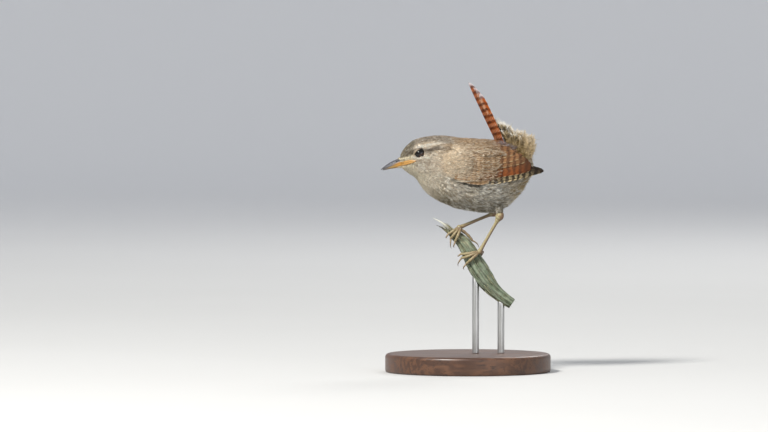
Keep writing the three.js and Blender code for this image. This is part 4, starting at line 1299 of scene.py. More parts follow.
def make_wings():
    piles = wing_piles()
    base, cape, veil, edge = Pile(), Pile(), Pile(), Pile()
    for grid, colour_of in ((cape_grid(), wing_marks), (shoulder_grid(), shoulder_marks)):
        verts, faces = closed_sheet(grid, np.array([0, 1.2, -0.3]))
        # the sheets under the down are painted darker, as shade below the feathers
        base.add(verts, faces, colour_of(verts) * 0.7)
    down_over(cape, cape_grid(), CAPE_DOWN, wing_marks, 5)
    down_over(edge, shoulder_grid(), EDGE_DOWN, shoulder_marks, 6, 0.97, 6.0)
    down_over(veil, veil_grid(), VEIL_DOWN, wing_marks, 7, thin=lambda x: ease(16.0, 7.0, x))
    covers = (("wing_base", base), ("coat_shoulder", cape), ("coat_wing", veil))
    for side, mirror in SIDES:
        for kind, pile in piles.items():
            pile.build(f"wing_{kind}_{side}", MATERIALS[kind], "wing", [f"wing_{side}"], mirror)
        for name, pile in covers:
            pile.build(f"{name}_{side}", DOWN, "wing", [f"wing_{side}"], mirror)
        edge.build(f"coat_scapular_{side}", DOWN, "crown", mirror=mirror)


make_wings()


# Tail: six pairs of feathers folded like a roof
TAIL_ROOT = np.array([15.2, 0, 95.7])
TAIL_TIP = np.array([0.9, 0, 126.2])
TAIL_AXIS = unit(TAIL_TIP - TAIL_ROOT)
TAIL_FRONT = np.array([-TAIL_AXIS[2], 0, TAIL_AXIS[0]])
TAIL_LENGTH = np.linalg.norm(TAIL_TIP - TAIL_ROOT)
TAIL_TIP_GREY = seen(196, 194, 202)
MATERIALS["tail"] = vane_material(
    "tail", TAIL_DARK, TAIL_EDGE, TAIL_DARK, 2.85, 0.42, 1.0, 0.74, 0.0, 0.7, 0.8
)


def tail_place(run, across, height):
    run, across = np.asarray(run, float), np.asarray(across, float)
    point = TAIL_ROOT + TAIL_AXIS * run[..., None] + TAIL_FRONT * np.asarray(height)[..., None]
    return point + np.array([0, -1.0, 0]) * across[..., None]


def make_tail():
    pile = Pile()
    rng = default_rng(33)
    for i, less in enumerate([0, 0.3, 1.0, 2.2, 3.9, 6.0]):
        spread = math.radians(1.2 + 1.75 * i)
        length = TAIL_LENGTH - less
        root = (0, 0.35 + 0.3 * i)
        tip = (length * math.cos(spread), root[1] + length * math.sin(spread))
        slope = math.tan(math.radians(10 + 6.5 * i))
        verts, faces, vane = plume(
            tail_place, root, tip, 4.6 - 0.24 * i, rng, height=0.9 - 0.48 * i, roll=slope * 0.8,
            bend=-0.3, shaft=0.25, thick=0.17, steps=40, ragged=0.04, camber=0.03,
        )
        vane[:, 1] += rng.normal() * 0.05
        tint = mix(TAIL * (1 + 0.05 * rng.normal()), TAIL_EDGE, 0.08 * i * ease(0.2, -0.6, vane[:, 0]))
        tint = mix(tint, TAIL_TIP_GREY, ease(2.8, 0.8, vane[:, 2]) * 0.85)
        pile.add(verts, faces, tint, vane)
        pile.add(verts * [1, -1, 1], faces, tint, vane)
    pile.build("tail_feathers", MATERIALS["tail"], "tail", ["tail"])

    # small feathers that cover the tail's foot in front
    cover = Pile()
    for _ in range(30):
        across = rng.uniform(-3.0, 3.0)
        start = rng.uniform(-1.0, 3.4)
        length = rng.uniform(5.4, 6.6) - 0.5 * abs(across)
        options = dict(
            outline=ROUND, height=1.7 + 0.2 * rng.normal() - 0.12 * across**2 - 0.12 * start, lift=-0.5,
            shaft=0, thick=0.12, steps=10,
        )
        verts, faces, vane = plume(
            tail_place, (start, across * 0.8), (start + length, across * 1.1), 2.6, rng, **options
        )
        tint = mix(RUMP, TAIL, 0.35) * rng.uniform(0.75, 1.05) * (0.6 + 0.4 * ease(0, 4, vane[:, 1]))[:, None]
        bake = [0.5 + 0.1 * across, 0.2 + 0.12 * start] + vane[:, :2] / [1, length] * 0.0015
        cover.add(verts, faces, tint, vane, bake)
    cover.build("tail_coverts", DOWN, "tail")


make_tail()


# Loose feathers under the tail
UNDERTAIL_ROOTS = [[16.6, 97.6], [23.6, 90.6]]
UNDERTAIL_TIPS = [
    [10.4, 112.4], [13.9, 109.6], [18.0, 107.3], [22.6, 105.6], [27.0, 103.9], [28.6, 101.2], [27.2, 96.6]
]


def downy_plume(pile, root, tip, outward, width, rng, bake, marked):
    """A soft feather: a thin shaft, a small vane at its foot and loose barbs up both sides."""
    root, tip, outward = (np.asarray(a, float) for a in (root, tip, outward))
    run = tip - root
    length = np.linalg.norm(run)
    ahead = run / length
    outward = unit(outward - ahead * outward.dot(ahead))
    side = np.cross(ahead, outward)
    bow = rng.uniform(0.08, 0.2) * length

    def at(share):
        share = np.asarray(share)[:, None]
        return root + run * share + outward * bow * 4 * share * (1 - share)

    count = int(length * 3.8)
    share = np.tile(np.linspace(0.1, 1.0, count), 2)
    hand = np.repeat([-1.0, 1.0], count)
    reach = (
        width / 2 * np.interp(share, [0, 0.2, 0.5, 0.8, 1], [0.7, 1.0, 1.0, 0.9, 0.6])
        * rng.uniform(0.6, 1.25, 2 * count)
    )
    slant = np.radians(np.interp(share, [0, 0.7, 1], [58, 50, 32]) + rng.normal(0, 13, 2 * count))
    foot = at(share)
    way = ahead * np.cos(slant)[:, None] + side * (hand * np.sin(slant))[:, None]
    long = (reach / np.maximum(np.sin(slant), 0.62))[:, None]
    lift = outward * rng.normal(0.05, 0.35, (2 * count, 1))
    end = foot + way * long + (lift - ahead * rng.uniform(-0.1, 0.5, (2 * count, 1))) * long
    control = foot + (way * 0.5 + ahead * 0.35) * long + outward * 0.25 * long
    verts, faces, per = hairs(foot, control, end, 0.13)
    step = np.tile(np.append(np.repeat([0, 1 / 3, 2 / 3], 3), 1), 2 * count)
    place = np.repeat(share, per) + 0.12 * step
    colour = painted(
        mix(VENT * 0.72, mix(VENT, DOWN_WHITE, 0.22), ease(0.1, 0.7, place)),
        (FLANK_DARK * 0.5, ease(0.56, 0.66, place) * ease(0.84, 0.76, place) * 0.9 * marked),
        (DOWN_WHITE, ease(0.84, 0.93, place) * (0.15 + 0.85 * marked)),
    )
    colour = colour * (1 + 0.08 * np.repeat(rng.normal(size=(2 * count, 1)), per, axis=0))
    bakes = np.tile(bake, (len(verts), 1)) + np.stack([place - 0.5, 0 * place], axis=1) * 0.003
    pile.add(verts, faces, colour, None, bakes)
    spine = np.linspace(0, 1, 9)
    verts, faces = closed_grid(tube_grid(at(spine), np.interp(spine, [0, 1], [0.16, 0.05]), 5))
    pile.add(verts, faces, VENT * 0.8, None, np.tile(bake, (len(verts), 1)))


def make_undertail():
    pile, rng = Pile(), default_rng(77)
    tips = catmull([[x, 0, z] for x, z in UNDERTAIL_TIPS], 15)[:, [0, 2]]
    for row, tip in enumerate(tips):
        share = row / (len(tips) - 1)
        root = mix(*np.array(UNDERTAIL_ROOTS), share)
        columns = [-0.5, 0.5] if row == 0 else [-1.2, 0, 1.2] if row % 2 else [-1.8, -0.6, 0.6, 1.8]
        for column in np.repeat(columns, 2) if row else columns:
            y = column * (1.3 + 0.7 * share) + rng.normal() * 0.35
            drop = abs(column) * 0.8 + rng.uniform(0.3, 2.6)
            to = [tip[0] - 0.25 * drop + rng.normal() * 0.4, y * 1.15 + rng.normal() * 0.3, tip[1] - drop]
            bake = [0.1 + 0.8 * share, 0.5 + 0.2 * column]
            marked = ease(0.75, 0.25, share)
            downy_plume(
                pile, [root[0], y, root[1]], to, [0.8, column * 0.25, 0.5],
                rng.uniform(2.8, 4.2) if row else 1.8, rng, bake, marked,
            )
    pile.build("coat_undertail", DOWN, "coverts", ["undertail_coverts"])
    core = Pile()
    path = catmull([[23.4, 0, 91], [21.6, 0, 97], [17.4, 0, 102], [13.2, 0, 106.4]], 20)
    # a core under the plumes, painted dark as the shade among them
    core.add(*closed_grid(tube_grid(path, np.linspace(4.0, 0.9, 21), 24)), VENT * 0.55)
    core.build("undertail_core", DOWN, "coverts", ["undertail_coverts"])
    make_rump_down(rng)


def make_rump_down(rng):
    """Grey down that shows on both sides of the tail's foot; its blue-grey is partly a painted sheen."""
    rump, count = Pile(), 420
    x, y = rng.uniform(11.0, 19.5, count), rng.uniform(1.2, 5.2, count) * rng.choice([-1, 1], count)
    hits = [OUTER.ray_cast(Vector((a, b, 140)), Vector((0, 0, -1)))[0] for a, b in zip(x, y)]
    start = np.array(hits) - [0, 0, 0.5]
    way = np.stack(
        [rng.uniform(0.7, 1.0, count), 0.25 * rng.normal(size=count), rng.uniform(0.1, 0.6, count)], axis=1
    )
    end = start + unit(way) * rng.uniform(2.0, 3.4, (count, 1))
    verts, faces, per = hairs(start, (start + end) / 2 + [0, 0, 0.7], end, 0.16)
    grey_and_sheen = (
        mix(RUMP, DOWN_GREY_AND_SHEEN, rng.uniform(0.2, 1.0, count) * ease(11.0, 13.0, x))
        * rng.uniform(0.8, 1.1, (count, 1))
    )
    places = np.stack([np.repeat((x - 10) / 10, per), np.repeat(0.5 + y / 12, per)], axis=1)
    rump.add(
        verts, faces, np.repeat(grey_and_sheen, per, axis=0), None, places + 0.0012 * rng.uniform(-1, 1, places.shape)
    )
    rump.build("coat_rump", DOWN, "crown")


make_undertail()


# Eyes, each a wet ball deep in the face, with a fleshy ring and tiny feathers round it
EYE_RADIUS = 2.5
LID_SECTION = [
    [2.75, -1.0], [2.75, -0.15], [2.45, 0.12], [2.15, 0.24], [1.9, 0.26], [1.72, 0.13], [1.68, -0.08],
    [2.1, -0.9],
]
MATERIALS["eye"] = tinted_material("eye", 0.1, 900.0, 0.0, 0.00002, coat=0.3, specular=0.25, spread=0.0)
MATERIALS["lid"] = tinted_material("lid", 0.5, 5200.0, 0.4, 0.00006, spread=0.25)
MATERIALS["horn"] = tinted_material(
    "horn", 0.55, 2600.0, 0.18, 0.00004, coat=0.04, specular=0.28, spread=0.18
)
MATERIALS["scaly_skin"] = tinted_material("scaly_skin", 0.48, 4200.0, 0.35, 0.00006, coat=0.05, spread=0.28)


def ball_of(name):
    """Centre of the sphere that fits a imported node's points."""
    verts, _ = node_arrays(name)
    left = np.hstack([2 * verts, np.ones((len(verts), 1))])
    return np.linalg.lstsq(left, (verts**2).sum(axis=1), rcond=None)[0][:3]


def ring_frame(axis):
    """Two directions across an axis: towards the bill and up."""
    up = unit(np.array([0, 0, 1.0]) - axis * axis[2])
    return np.cross(up, axis) * (1 if np.cross(up, axis)[0] < 0 else -1), up


def over_eye(reach):
    """How far along the eye's axis its ball is, at a distance from the axis."""
    return np.sqrt(EYE_RADIUS**2 - np.minimum(reach, 2.3) ** 2)


def eye_ball(centre, axis, fore, up):
    rows, sides = 40, 48
    angle, turn = np.linspace(0.001, math.pi - 0.001, rows), turns_of(sides)
    ring = np.cos(turn)[:, None] * fore + np.sin(turn)[:, None] * up
    grid = centre + EYE_RADIUS * (np.cos(angle)[:, None, None] * axis + np.sin(angle)[:, None, None] * ring)
    off = np.repeat(np.sin(angle) * EYE_RADIUS, sides)
    pile = Pile()
    pile.add(*closed_grid(grid), mix(PUPIL, IRIS, ease(1.12, 1.2, off) * ease(1.75, 1.6, off)))
    return pile


def eye_lids(centre, axis, fore, up):
    """A fleshy ring with fine wrinkles: one section, carried round the eye."""
    sides, n = 72, len(LID_SECTION)
    turns = turns_of(sides)
    section = []
    for a in turns:
        out = math.cos(a) * fore * 1.06 + math.sin(a) * up * 0.97
        for reach, lift in LID_SECTION:
            wrinkle = 0.025 * math.sin(a * 26 + reach * 9) if 1.9 < reach < 2.6 else 0
            section.append(centre + out * reach + axis * (over_eye(reach) + lift + wrinkle))
    a, b = np.meshgrid(np.arange(sides), np.arange(n), indexing="ij")
    past, beside = (a + 1) % sides, (b + 1) % n
    quads = np.stack([a * n + b, past * n + b, past * n + beside, a * n + beside], axis=-1)
    pale = mix(LID_DARK, LID_PALE, ease(-0.5, 0.6, np.sin(np.repeat(turns, n) * 2 + 0.9)))
    rim = np.tile(np.isin(np.arange(n), [5, 6]), sides)[:, None]
    pile = Pile()
    pile.add(section, [quads.reshape(-1, 4)], np.where(rim, LID_RIM, pale))
    return pile


def eye_fringe(centre, axis, fore, up):
    """Tiny feathers round the lids."""
    rng, count = default_rng(12), 1700
    a = rng.uniform(0, 2 * math.pi, count)
    out = np.cos(a)[:, None] * fore + np.sin(a)[:, None] * up
    reach = (rng.uniform(1.85, 2.8, count) + 0.3 * np.maximum(np.cos(a), 0))[:, None]
    start = centre + out * reach + axis * (over_eye(reach) + 0.12)
    length = rng.uniform(0.35, 0.7, (count, 1))
    end = start + unit(out * 0.55 - fore) * length + axis * 0.08
    verts, faces, per = hairs(start, (start + end) / 2 + axis * 0.16, end, 0.09)
    light = mix(BROW, EYE_STRIPE, ease(0.35, 0.75, np.abs(np.sin(a * 2 + 1.0))) * 0.7)
    light = np.repeat(light * rng.uniform(0.75, 1.1, (count, 1)), per, axis=0)
    a = np.repeat(a, per)
    places = 0.5 + 0.4 * np.stack([np.cos(a), np.sin(a)], axis=1)
    pile = Pile()
    pile.add(verts, faces, light, None, places + BAKE_PATCH / 2 * rng.uniform(-1, 1, places.shape))
    return pile


def make_eyes():
    centre = ball_of("eye_left")
    axis = unit(outer_at(*EYE_PLACE) - centre)
    fore, up = ring_frame(axis)
    ball, lids, fringe = (build(centre, axis, fore, up) for build in (eye_ball, eye_lids, eye_fringe))
    for side, mirror in SIDES:
        ball.build(f"eye_ball_{side}", MATERIALS["eye"], "eye", [f"eye_{side}"], mirror)
        lids.build(f"eye_lids_{side}", MATERIALS["lid"], "eye", mirror=mirror)
        fringe.build(f"coat_eye_ring_{side}", DOWN, "eye", mirror=mirror)


make_eyes()


# Bill, by stations: x, ridge, edge, half breadth
UPPER = [
    [-27.6, 93.75, 91.8, 1.8],
    [-28.4, 93.4, 91.45, 1.75],
    [-30.0, 92.85, 90.75, 1.6],
    [-32.0, 92.05, 90.0, 1.3],
    [-34.0, 91.0, 89.35, 0.95],
    [-36.2, 89.5, 88.55, 0.55],
    [-37.5, 88.45, 88.0, 0.25],
    [-37.95, 88.02, 87.85, 0.06],
]
LOWER = [
    [-27.4, 89.5, 91.2, 1.65],
    [-28.2, 89.4, 91.0, 1.6],
    [-30.0, 89.0, 90.62, 1.45],
    [-32.0, 88.55, 89.9, 1.12],
    [-34.0, 88.25, 89.26, 0.8],
    [-36.4, 87.75, 88.42, 0.36],
    [-37.1, 87.78, 88.05, 0.06],
]
HORN_DARK, HORN_LIGHT = seen(52, 52, 57), seen(98, 98, 102)
BILL_YELLOW = seen(152, 122, 72)


def mandible(stations, upper):
    """Rings from the face to the tip: a rounded ridge over a flat roof or floor."""
    rows, sides = 64, 40
    grid, tint = [], []
    for x, ridge, edge, half in catmull_rows(stations, rows):
        tip, depth = ease(-33.5, -37.5, x), max(ridge - edge, 0.05)
        for turn in turns_of(sides):
            c, s = math.cos(turn), math.sin(turn)
            y = half * math.copysign(abs(c) ** 0.85, c)
            if s >= 0:
                z = edge + (ridge - edge) * s**0.9
            else:
                z = edge - math.copysign(0.1, ridge - edge) * -s * half
            if upper:
                far = math.hypot((x + 30.7) / 0.75, (z - 91.55 - 0.22 * (x + 30.7)) / 0.2)
                pit = float(ease(1.25, 0.5, far)) if s > 0 else 0
                y -= math.copysign(0.45 * pit, y)
                groove = math.hypot((x + 30.2) / 1.7, (z - 91.75 - 0.3 * (x + 30.2)) / 0.42)
                y -= math.copysign(0.1 * float(ease(1.2, 0.3, groove)), y) if s > 0 else 0
                share = (z - edge) / depth
                colour = mix(HORN_LIGHT, HORN_DARK, ease(0.2, 0.8, share) * 0.85)
                colour = mix(colour, GAPE, (1 - ease(0.0, 0.42, share)) * ease(-34, -30, x))
                colour = mix(colour, HORN_DARK * 0.8, tip * 0.7)
                colour = mix(colour, NOSTRIL, pit)
            else:
                colour = mix(BILL_YELLOW, GAPE, ease(-33, -29.5, x))
                colour = mix(colour, HORN_LIGHT * 0.8, ease(-32.5, -36.5, x) * 0.9)
                # painted shade on the lower mandible's underside
                colour = mix(colour, colour * 0.75, ease(-0.4, -1, -s))
            grid.append((x, y, z))
            tint.append(colour)
    verts, faces = closed_grid(np.array(grid).reshape(-1, sides, 3))
    return verts, faces, np.array(tint)


def make_collar():
    """Tiny feathers that run on to the foot of the bill."""
    turns = turns_of(48)
    grid = []
    for share in np.linspace(0, 1, 14):
        x = -30.9 + 2.6 * share
        high = along([[-31, 92.5], [-30, 92.9], [-28.4, 93.6]], x)
        low = along([[-31, 88.8], [-30, 88.95], [-28.2, 89.2]], x)
        half = along([[-31, 1.45], [-30, 1.62], [-28.3, 2.0]], x)
        z = (high + low) / 2 - (high - low) / 2 * np.cos(turns)
        grid.append(np.stack([x + 0 * turns, -half * np.sin(turns), z], axis=1))
    surface = Surface(np.array(grid))

    def density(p):
        off = np.abs(p[:, 2] - along(GAPE_LINE, p[:, 0]))
        nostril = np.hypot((p[:, 0] + 31.0) / 1.6, (p[:, 2] - 91.7) / 0.8)
        front = ease(-30.9, -29.6, p[:, 0] + 0.8 * np.abs(p[:, 2] - 91) / 2 - 0.4)
        return (
            46 * front * np.where(np.abs(p[:, 1]) > 0.6, ease(0.85, 1.15, off) * ease(0.8, 1.1, nostril), 1)
        )

    s, t = surface.scatter(density, 9000)
    rng, count = default_rng(19), len(s)
    sizes = (rng.uniform(0.7, 1.3, count), 0.08, rng.uniform(0.12, 0.4, count), rng.normal(0, 12, count))

    def colours(tips):
        return mix(marks(tips + [2.2, 0, 0.4]), LORES, 0.4 * ease(94.0, 92.5, tips[:, 2]))

    form = dict(strand_form(thick=0.04), sink=0.05)
    pile = Pile()
    sow(pile, surface, (s, t), ((0, 1), (0, 1)), rng, colours, form, sizes)
    pile.build("coat_bill_foot", DOWN, "crown")


def gape_lips():
    """Soft orange flange at the corner of the mouth, an upper and a lower lip."""
    pile, sides = Pile(), 28
    share, turns = np.linspace(0, 1, 31)[:, None], turns_of(sides)
    folds = 1 + 0.05 * np.sin(7 * turns + 3 * share) + 0.04 * np.sin(share * 40 + 2 * np.sin(turns))
    swell = np.interp(share[:, 0], [0, 0.08, 0.2, 0.5, 0.85, 1], [0.05, 0.45, 0.85, 1.0, 0.75, 0.3])
    for rise, thick in ((0.34, 0.56), (-0.44, 0.52)):
        path = []
        for x, z in GAPE_LINE:
            apart = rise * (1 - ease(-24.5, -22.4, x))
            at = outer_at(max(x, -28.7), z + apart * 0.9, 0.24)
            path.append((x, at[1] if x > -28.7 else -1.55 + 0.1 * (-28.7 - x), z + apart))
        path = catmull(path, 30)
        grid = tube_grid(path, thick * swell, sides)
        verts, faces = closed_grid(path[:, None] + (grid - path[:, None]) * folds[..., None])
        yellow = mix(GAPE, BILL_YELLOW, 0.35)
        pile.add(verts, faces, mix(yellow, GAPE_CORNER, ease(-24.6, -22.6, verts[:, 0]) * 0.7))
    return pile


def mouth_bristles():
    rng, count = default_rng(3), 9
    x = rng.uniform(-29.0, -26.6, count)
    start = np.array([outer_at(a, 92.1 + 0.4 * rng.uniform(), 0.5) for a in x])
    out, up = -0.38 - 0.2 * rng.uniform(size=count), -0.25 + 0.3 * rng.uniform(size=count)
    way = unit(np.stack([np.full(count, -0.9), out, up], axis=1))
    end = start + way * rng.uniform(1.6, 3.0, (count, 1))
    verts, faces, _ = hairs(start, start + way + [0, -0.25, 0.2], end, 0.08, 5)
    pile = Pile()
    pile.add(verts, faces, EYE_STRIPE * 0.4)
    return pile


def make_bill():
    make_collar()
    for name, stations in (("bill_upper", UPPER), ("bill_lower", LOWER)):
        pile = Pile()
        pile.add(*mandible(stations, stations is UPPER))
        pile.build(f"{name}_horn", MATERIALS["horn"], name, [name])
    lips, bristles = gape_lips(), mouth_bristles()
    for side, mirror in SIDES:
        lips.build(f"gape_lips_{side}", MATERIALS["scaly_skin"], "bill_lower", [f"gape_{side}"], mirror)
        bristles.build(f"bristles_{side}", MATERIALS["horn"], "crown", mirror=mirror)


make_bill()


# Stem
STEM_AXIS = [
    (-8.3, 0, 61.7), (-1.7, 0, 55.8), (3.9, 0, 46.1), (9.3, 0, 37.9), (14.8, 0, 32.6), (19.1, 0, 29.6)
]
STEM_RADII = [[0, 1.5], [3, 2.1], [9, 3.0], [15, 3.5], [21, 4.1], [28, 3.7], [35, 2.8], [44, 2.2]]
STEM_LINE = catmull(STEM_AXIS, 400)
STEM_FAR = distances(STEM_LINE)
STEM_LENGTH = STEM_FAR[-1]


def stem_radius(distance):
    return along(STEM_RADII, distance)


def on_stem(distance, turn, reach):
    """A point by its distance down the stem, turn from the top side in degrees, and reach."""
    distance, turn, reach = np.broadcast_arrays(*(np.asarray(a, float) for a in (distance, turn, reach)))
    at = np.clip(distance, 0, STEM_LENGTH)
    p = np.stack([np.interp(at, STEM_FAR, STEM_LINE[:, k]) for k in range(3)], axis=-1)
    line = unit(np.gradient(STEM_LINE, axis=0))
    heading = unit(np.stack([np.interp(at, STEM_FAR, line[:, k]) for k in range(3)], axis=-1))
    upper = np.stack([-heading[..., 2], 0 * at, heading[..., 0]], axis=-1)
    upper = upper * np.where(upper[..., 2:] < 0, -1, 1)
    angle = np.radians(turn)[..., None]
    past = (distance - at)[..., None]
    return (
        p + heading * past
        + reach[..., None] * (upper * np.cos(angle) + np.array([0, -1.0, 0]) * np.sin(angle))
    )


def stem_crest(distance, turn):
    """1 on the crests of the stem's long ribs, 0 in the grooves between them."""
    return np.abs(np.sin(4.0 * (np.radians(turn) + 0.012 * distance) + 0.5 * np.sin(distance * 0.21)))


def stem_form(distance, turn):
    """Ribs, fine lines and lumps of the dry stem, as a share of its radius."""
    a = np.radians(turn)
    twist = a + 0.012 * distance
    ribs = 0.075 * stem_crest(distance, turn) - 0.02
    fine = (
        0.018 * np.sin(17 * twist + 0.9 * np.sin(distance * 0.33))
        + 0.012 * np.sin(31 * twist + distance * 0.12)
    )
    lumps = 0.02 * np.sin(distance * 0.52 + 2 * np.sin(a)) + 0.012 * np.sin(distance * 1.7 + 3 * a)
    return 0.97 + ribs + fine + lumps


MATERIALS["bark"] = tinted_material("bark", 0.85, 1900.0, 0.6, 0.00016, specular=0.2, spread=0.42)
STEM_GREEN, STEM_GREY, STEM_BROWN = seen(92, 104, 84), seen(122, 130, 112), seen(88, 80, 60)
STEM_STRAW, STEM_DARK = seen(156, 152, 120), seen(38, 44, 32)
SPLINTER_TINTS = (seen(200, 200, 188), seen(70, 66, 50), seen(132, 126, 100))


def stem_tint(distance, turn):
    a = np.radians(turn)
    streak = noise3(np.stack([np.cos(a) * 3, np.sin(a) * 3, distance * 0.12], axis=-1), 1.4, 17)
    patch = noise3(np.stack([np.cos(a) * 2, np.sin(a) * 2, distance * 0.35], axis=-1), 0.9, 23)
    crest = stem_crest(distance, turn)
    # painted shade in the grooves and dips of the stem's form
    painted_groove_shade = np.maximum(ease(0.985, 0.95, stem_form(distance, turn)), ease(0.3, 0.05, crest))
    return painted(
        mix(STEM_GREEN, STEM_GREY, ease(0.3, 0.75, streak)),
        (STEM_BROWN, ease(0.5, 0.8, patch) * 0.4),
        (STEM_BROWN * 0.9, ease(10, 3, distance) * 0.6),
        (STEM_STRAW, ease(0.62, 0.8, streak) * ease(16, 3, distance) * 0.8),
        # painted highlight on the crests of the ribs
        (STEM_GREY * [1.2, 1.25, 1.25], ease(0.8, 0.99, crest) * 0.55 * (0.4 + 0.6 * streak)),
        # painted shade in the grooves
        (STEM_DARK, painted_groove_shade * 0.55),
    )


def stem_body(pile):
    """The stem with its torn top, its hollow end and its cut foot, as one closed form."""
    sides = 96
    turns = np.arange(sides) * 360 / sides
    angle, flat = np.radians(turns), 0 * turns
    jag = 1.3 * noise3(np.stack([np.cos(angle), np.sin(angle), flat], axis=-1), 3.2, 4)
    tears = 0.4 + 0.6 * noise3(np.stack([turns * 0.05, flat, flat], axis=-1), 1.0, 9)
    jag = jag + 1.6 * np.maximum(0, np.sin(np.radians(turns * 7 + 20))) ** 3 * tears
    grid, tint = [], []
    for share in np.linspace(0, 1, 12)[::-1]:
        d = (1.1 - jag) * (1 - share) + 4.5 * share
        hollow = (0.72 - 0.3 * share) * (1 + 0.06 * np.sin(np.radians(turns * 9)))
        grid.append(on_stem(d, turns, stem_radius(d) * hollow))
        # the hollow top painted darker deeper in, as shade
        tint.append(mix(STEM_STRAW, STEM_BROWN * 0.6, ease(0.5, 3.5, d)))
    for share in np.linspace(0, 1, 170):
        d = STEM_LENGTH * share + (1.1 - jag) * (1 - ease(0, 0.1, share))
        grid.append(on_stem(d, turns, stem_radius(d) * stem_form(d, turns)))
        tint.append(stem_tint(d, turns))
    foot = stem_radius(STEM_LENGTH) * stem_form(STEM_LENGTH, turns)
    for r in (0.93, 0.75, 0.5, 0.25, 0.08):
        grid.append(on_stem(STEM_LENGTH + 0.05 * np.sin(18 * r), turns, foot * r))
        tint.append(np.tile(mix(STEM_STRAW, STEM_BROWN, 0.5 + 0.4 * math.sin(22 * r)), (sides, 1)))
    pile.add(*closed_grid(np.array(grid)), np.vstack(tint))


def stem_splinters(pile):
    splinters = (
        (60, (-15.4, -1.0, 67.1), 0.95), (150, (-13.7, -1.4, 63.9), 0.8), (-60, (-10.6, 0.9, 64.4), 0.8)
    )
    share = np.linspace(0, 1, 25)
    for (turn, far, width), tint in zip(splinters, SPLINTER_TINTS):
        start, low = on_stem(4.5, turn, 1.6), on_stem(1.2, turn, 1.35)
        bend = (low + np.array(far)) / 2 + [0.3, 0.1, 0.35]
        path = catmull([start, low, bend, far], 24)
        grid = tube_grid(path, width * np.interp(share, [0, 0.3, 0.7, 1], [0.6, 0.8, 0.5, 0.06]), 12)
        flat = grid - path[:, None]
        grid = path[:, None] + flat * np.array([0.8, 0.55, 0.8])
        grid += 0.06 * np.sin(grid[..., :1] * 5) * unit(flat)
        pile.add(*closed_grid(grid), mix(tint, STEM_BROWN, np.repeat(ease(0.75, 0.2, share), 12)))


def stem_fray(pile):
    """Torn fibres round the stem's top."""
    rng, count = default_rng(6), 46
    turn = rng.uniform(0, 360, count)
    start = on_stem(rng.uniform(0.5, 4, count), turn, 1.5)
    end = on_stem(
        -rng.uniform(1.5, 4.2, count), turn + rng.normal(0, 16, count), rng.uniform(0.8, 1.9, count)
    )
    control = (start + end) / 2 + rng.normal(0, 0.3, (count, 3))
    verts, faces, per = hairs(start, control, end, rng.uniform(0.12, 0.3, count), 4)
    pile.add(verts, faces, np.repeat(mix(STEM_STRAW, STEM_BROWN, rng.uniform(0, 0.8, count)), per, axis=0))


def make_stem():
    pile = Pile()
    for build in (stem_body, stem_splinters, stem_fray):
        build(pile)
    pile.build("stem", MATERIALS["bark"], "stem", ["perch_stem"])


make_stem()


# Legs, feet and claws
TARSUS_RADIUS, TOE_RADIUS, CLAW_RADIUS = 0.72, 0.7, 0.42
FOOT_GAP, ANKLE_RADIUS, PAD_RADIUS, TOE_SINK = 0.3, 1.8, 1.35, 0.08
FEET = {
    "left": {
        "heel": (15.0, 40),
        "toes": [
            ((12.0, 146), (12.6, 196, 1.2)), ((13.8, 160), (16.6, 190, 3.3)),
            ((17.0, 138), (18.8, 186, 1.2)), ((17.6, -78), (18.4, -136, 0.9)),
        ],
    },
    "right": {
        "heel": (3.0, -14),
        "toes": [
            ((0.8, 122), (1.4, 192, 1.2)), ((2.8, 142), (6.4, 172, 2.7)), ((5.2, 126), (7.2, 184, 1.1)),
            ((9.8, -24), (13.8, -20, 1.0)),
        ],
    },
}
LEG_PALE, LEG_PINK, LEG_RED = seen(146, 136, 100), seen(118, 96, 70), seen(86, 62, 44)
CLAW_PALE, CLAW_DARK = seen(146, 128, 102), seen(88, 74, 56)


def grip_radius(distance):
    return stem_radius(distance) * 1.09


def wrap(start, end, off, arch, steps=12):
    share = np.linspace(0, 1, steps + 1)
    distance = start[0] + (end[0] - start[0]) * share
    turn = start[1] + (end[1] - start[1]) * share
    reach = grip_radius(distance) + off[0] + (off[1] - off[0]) * share + arch * np.sin(math.pi * share)
    return on_stem(distance, turn, reach)


def leg_tint(verts, outward):
    """Painted light and shade: pale in front and above, where the light comes from, pinkish and darker
    behind, faintly patchy.
    """
    # how much a point faces the light, from above, in front and to the left
    lit = outward @ unit([-0.8, -0.35, 0.45])
    patch = noise3(verts, 0.9, 31)
    colour = mix(LEG_PINK, LEG_PALE, ease(-0.3, 0.9, lit + 0.5 * (patch - 0.5)))
    return mix(colour, LEG_RED, ease(0.1, -0.9, lit) * 0.7 + 0.12 * patch)


def round_tint(grid, path):
    verts = grid.reshape(-1, 3)
    return leg_tint(verts, unit(grid - path[:, None]).reshape(-1, 3))


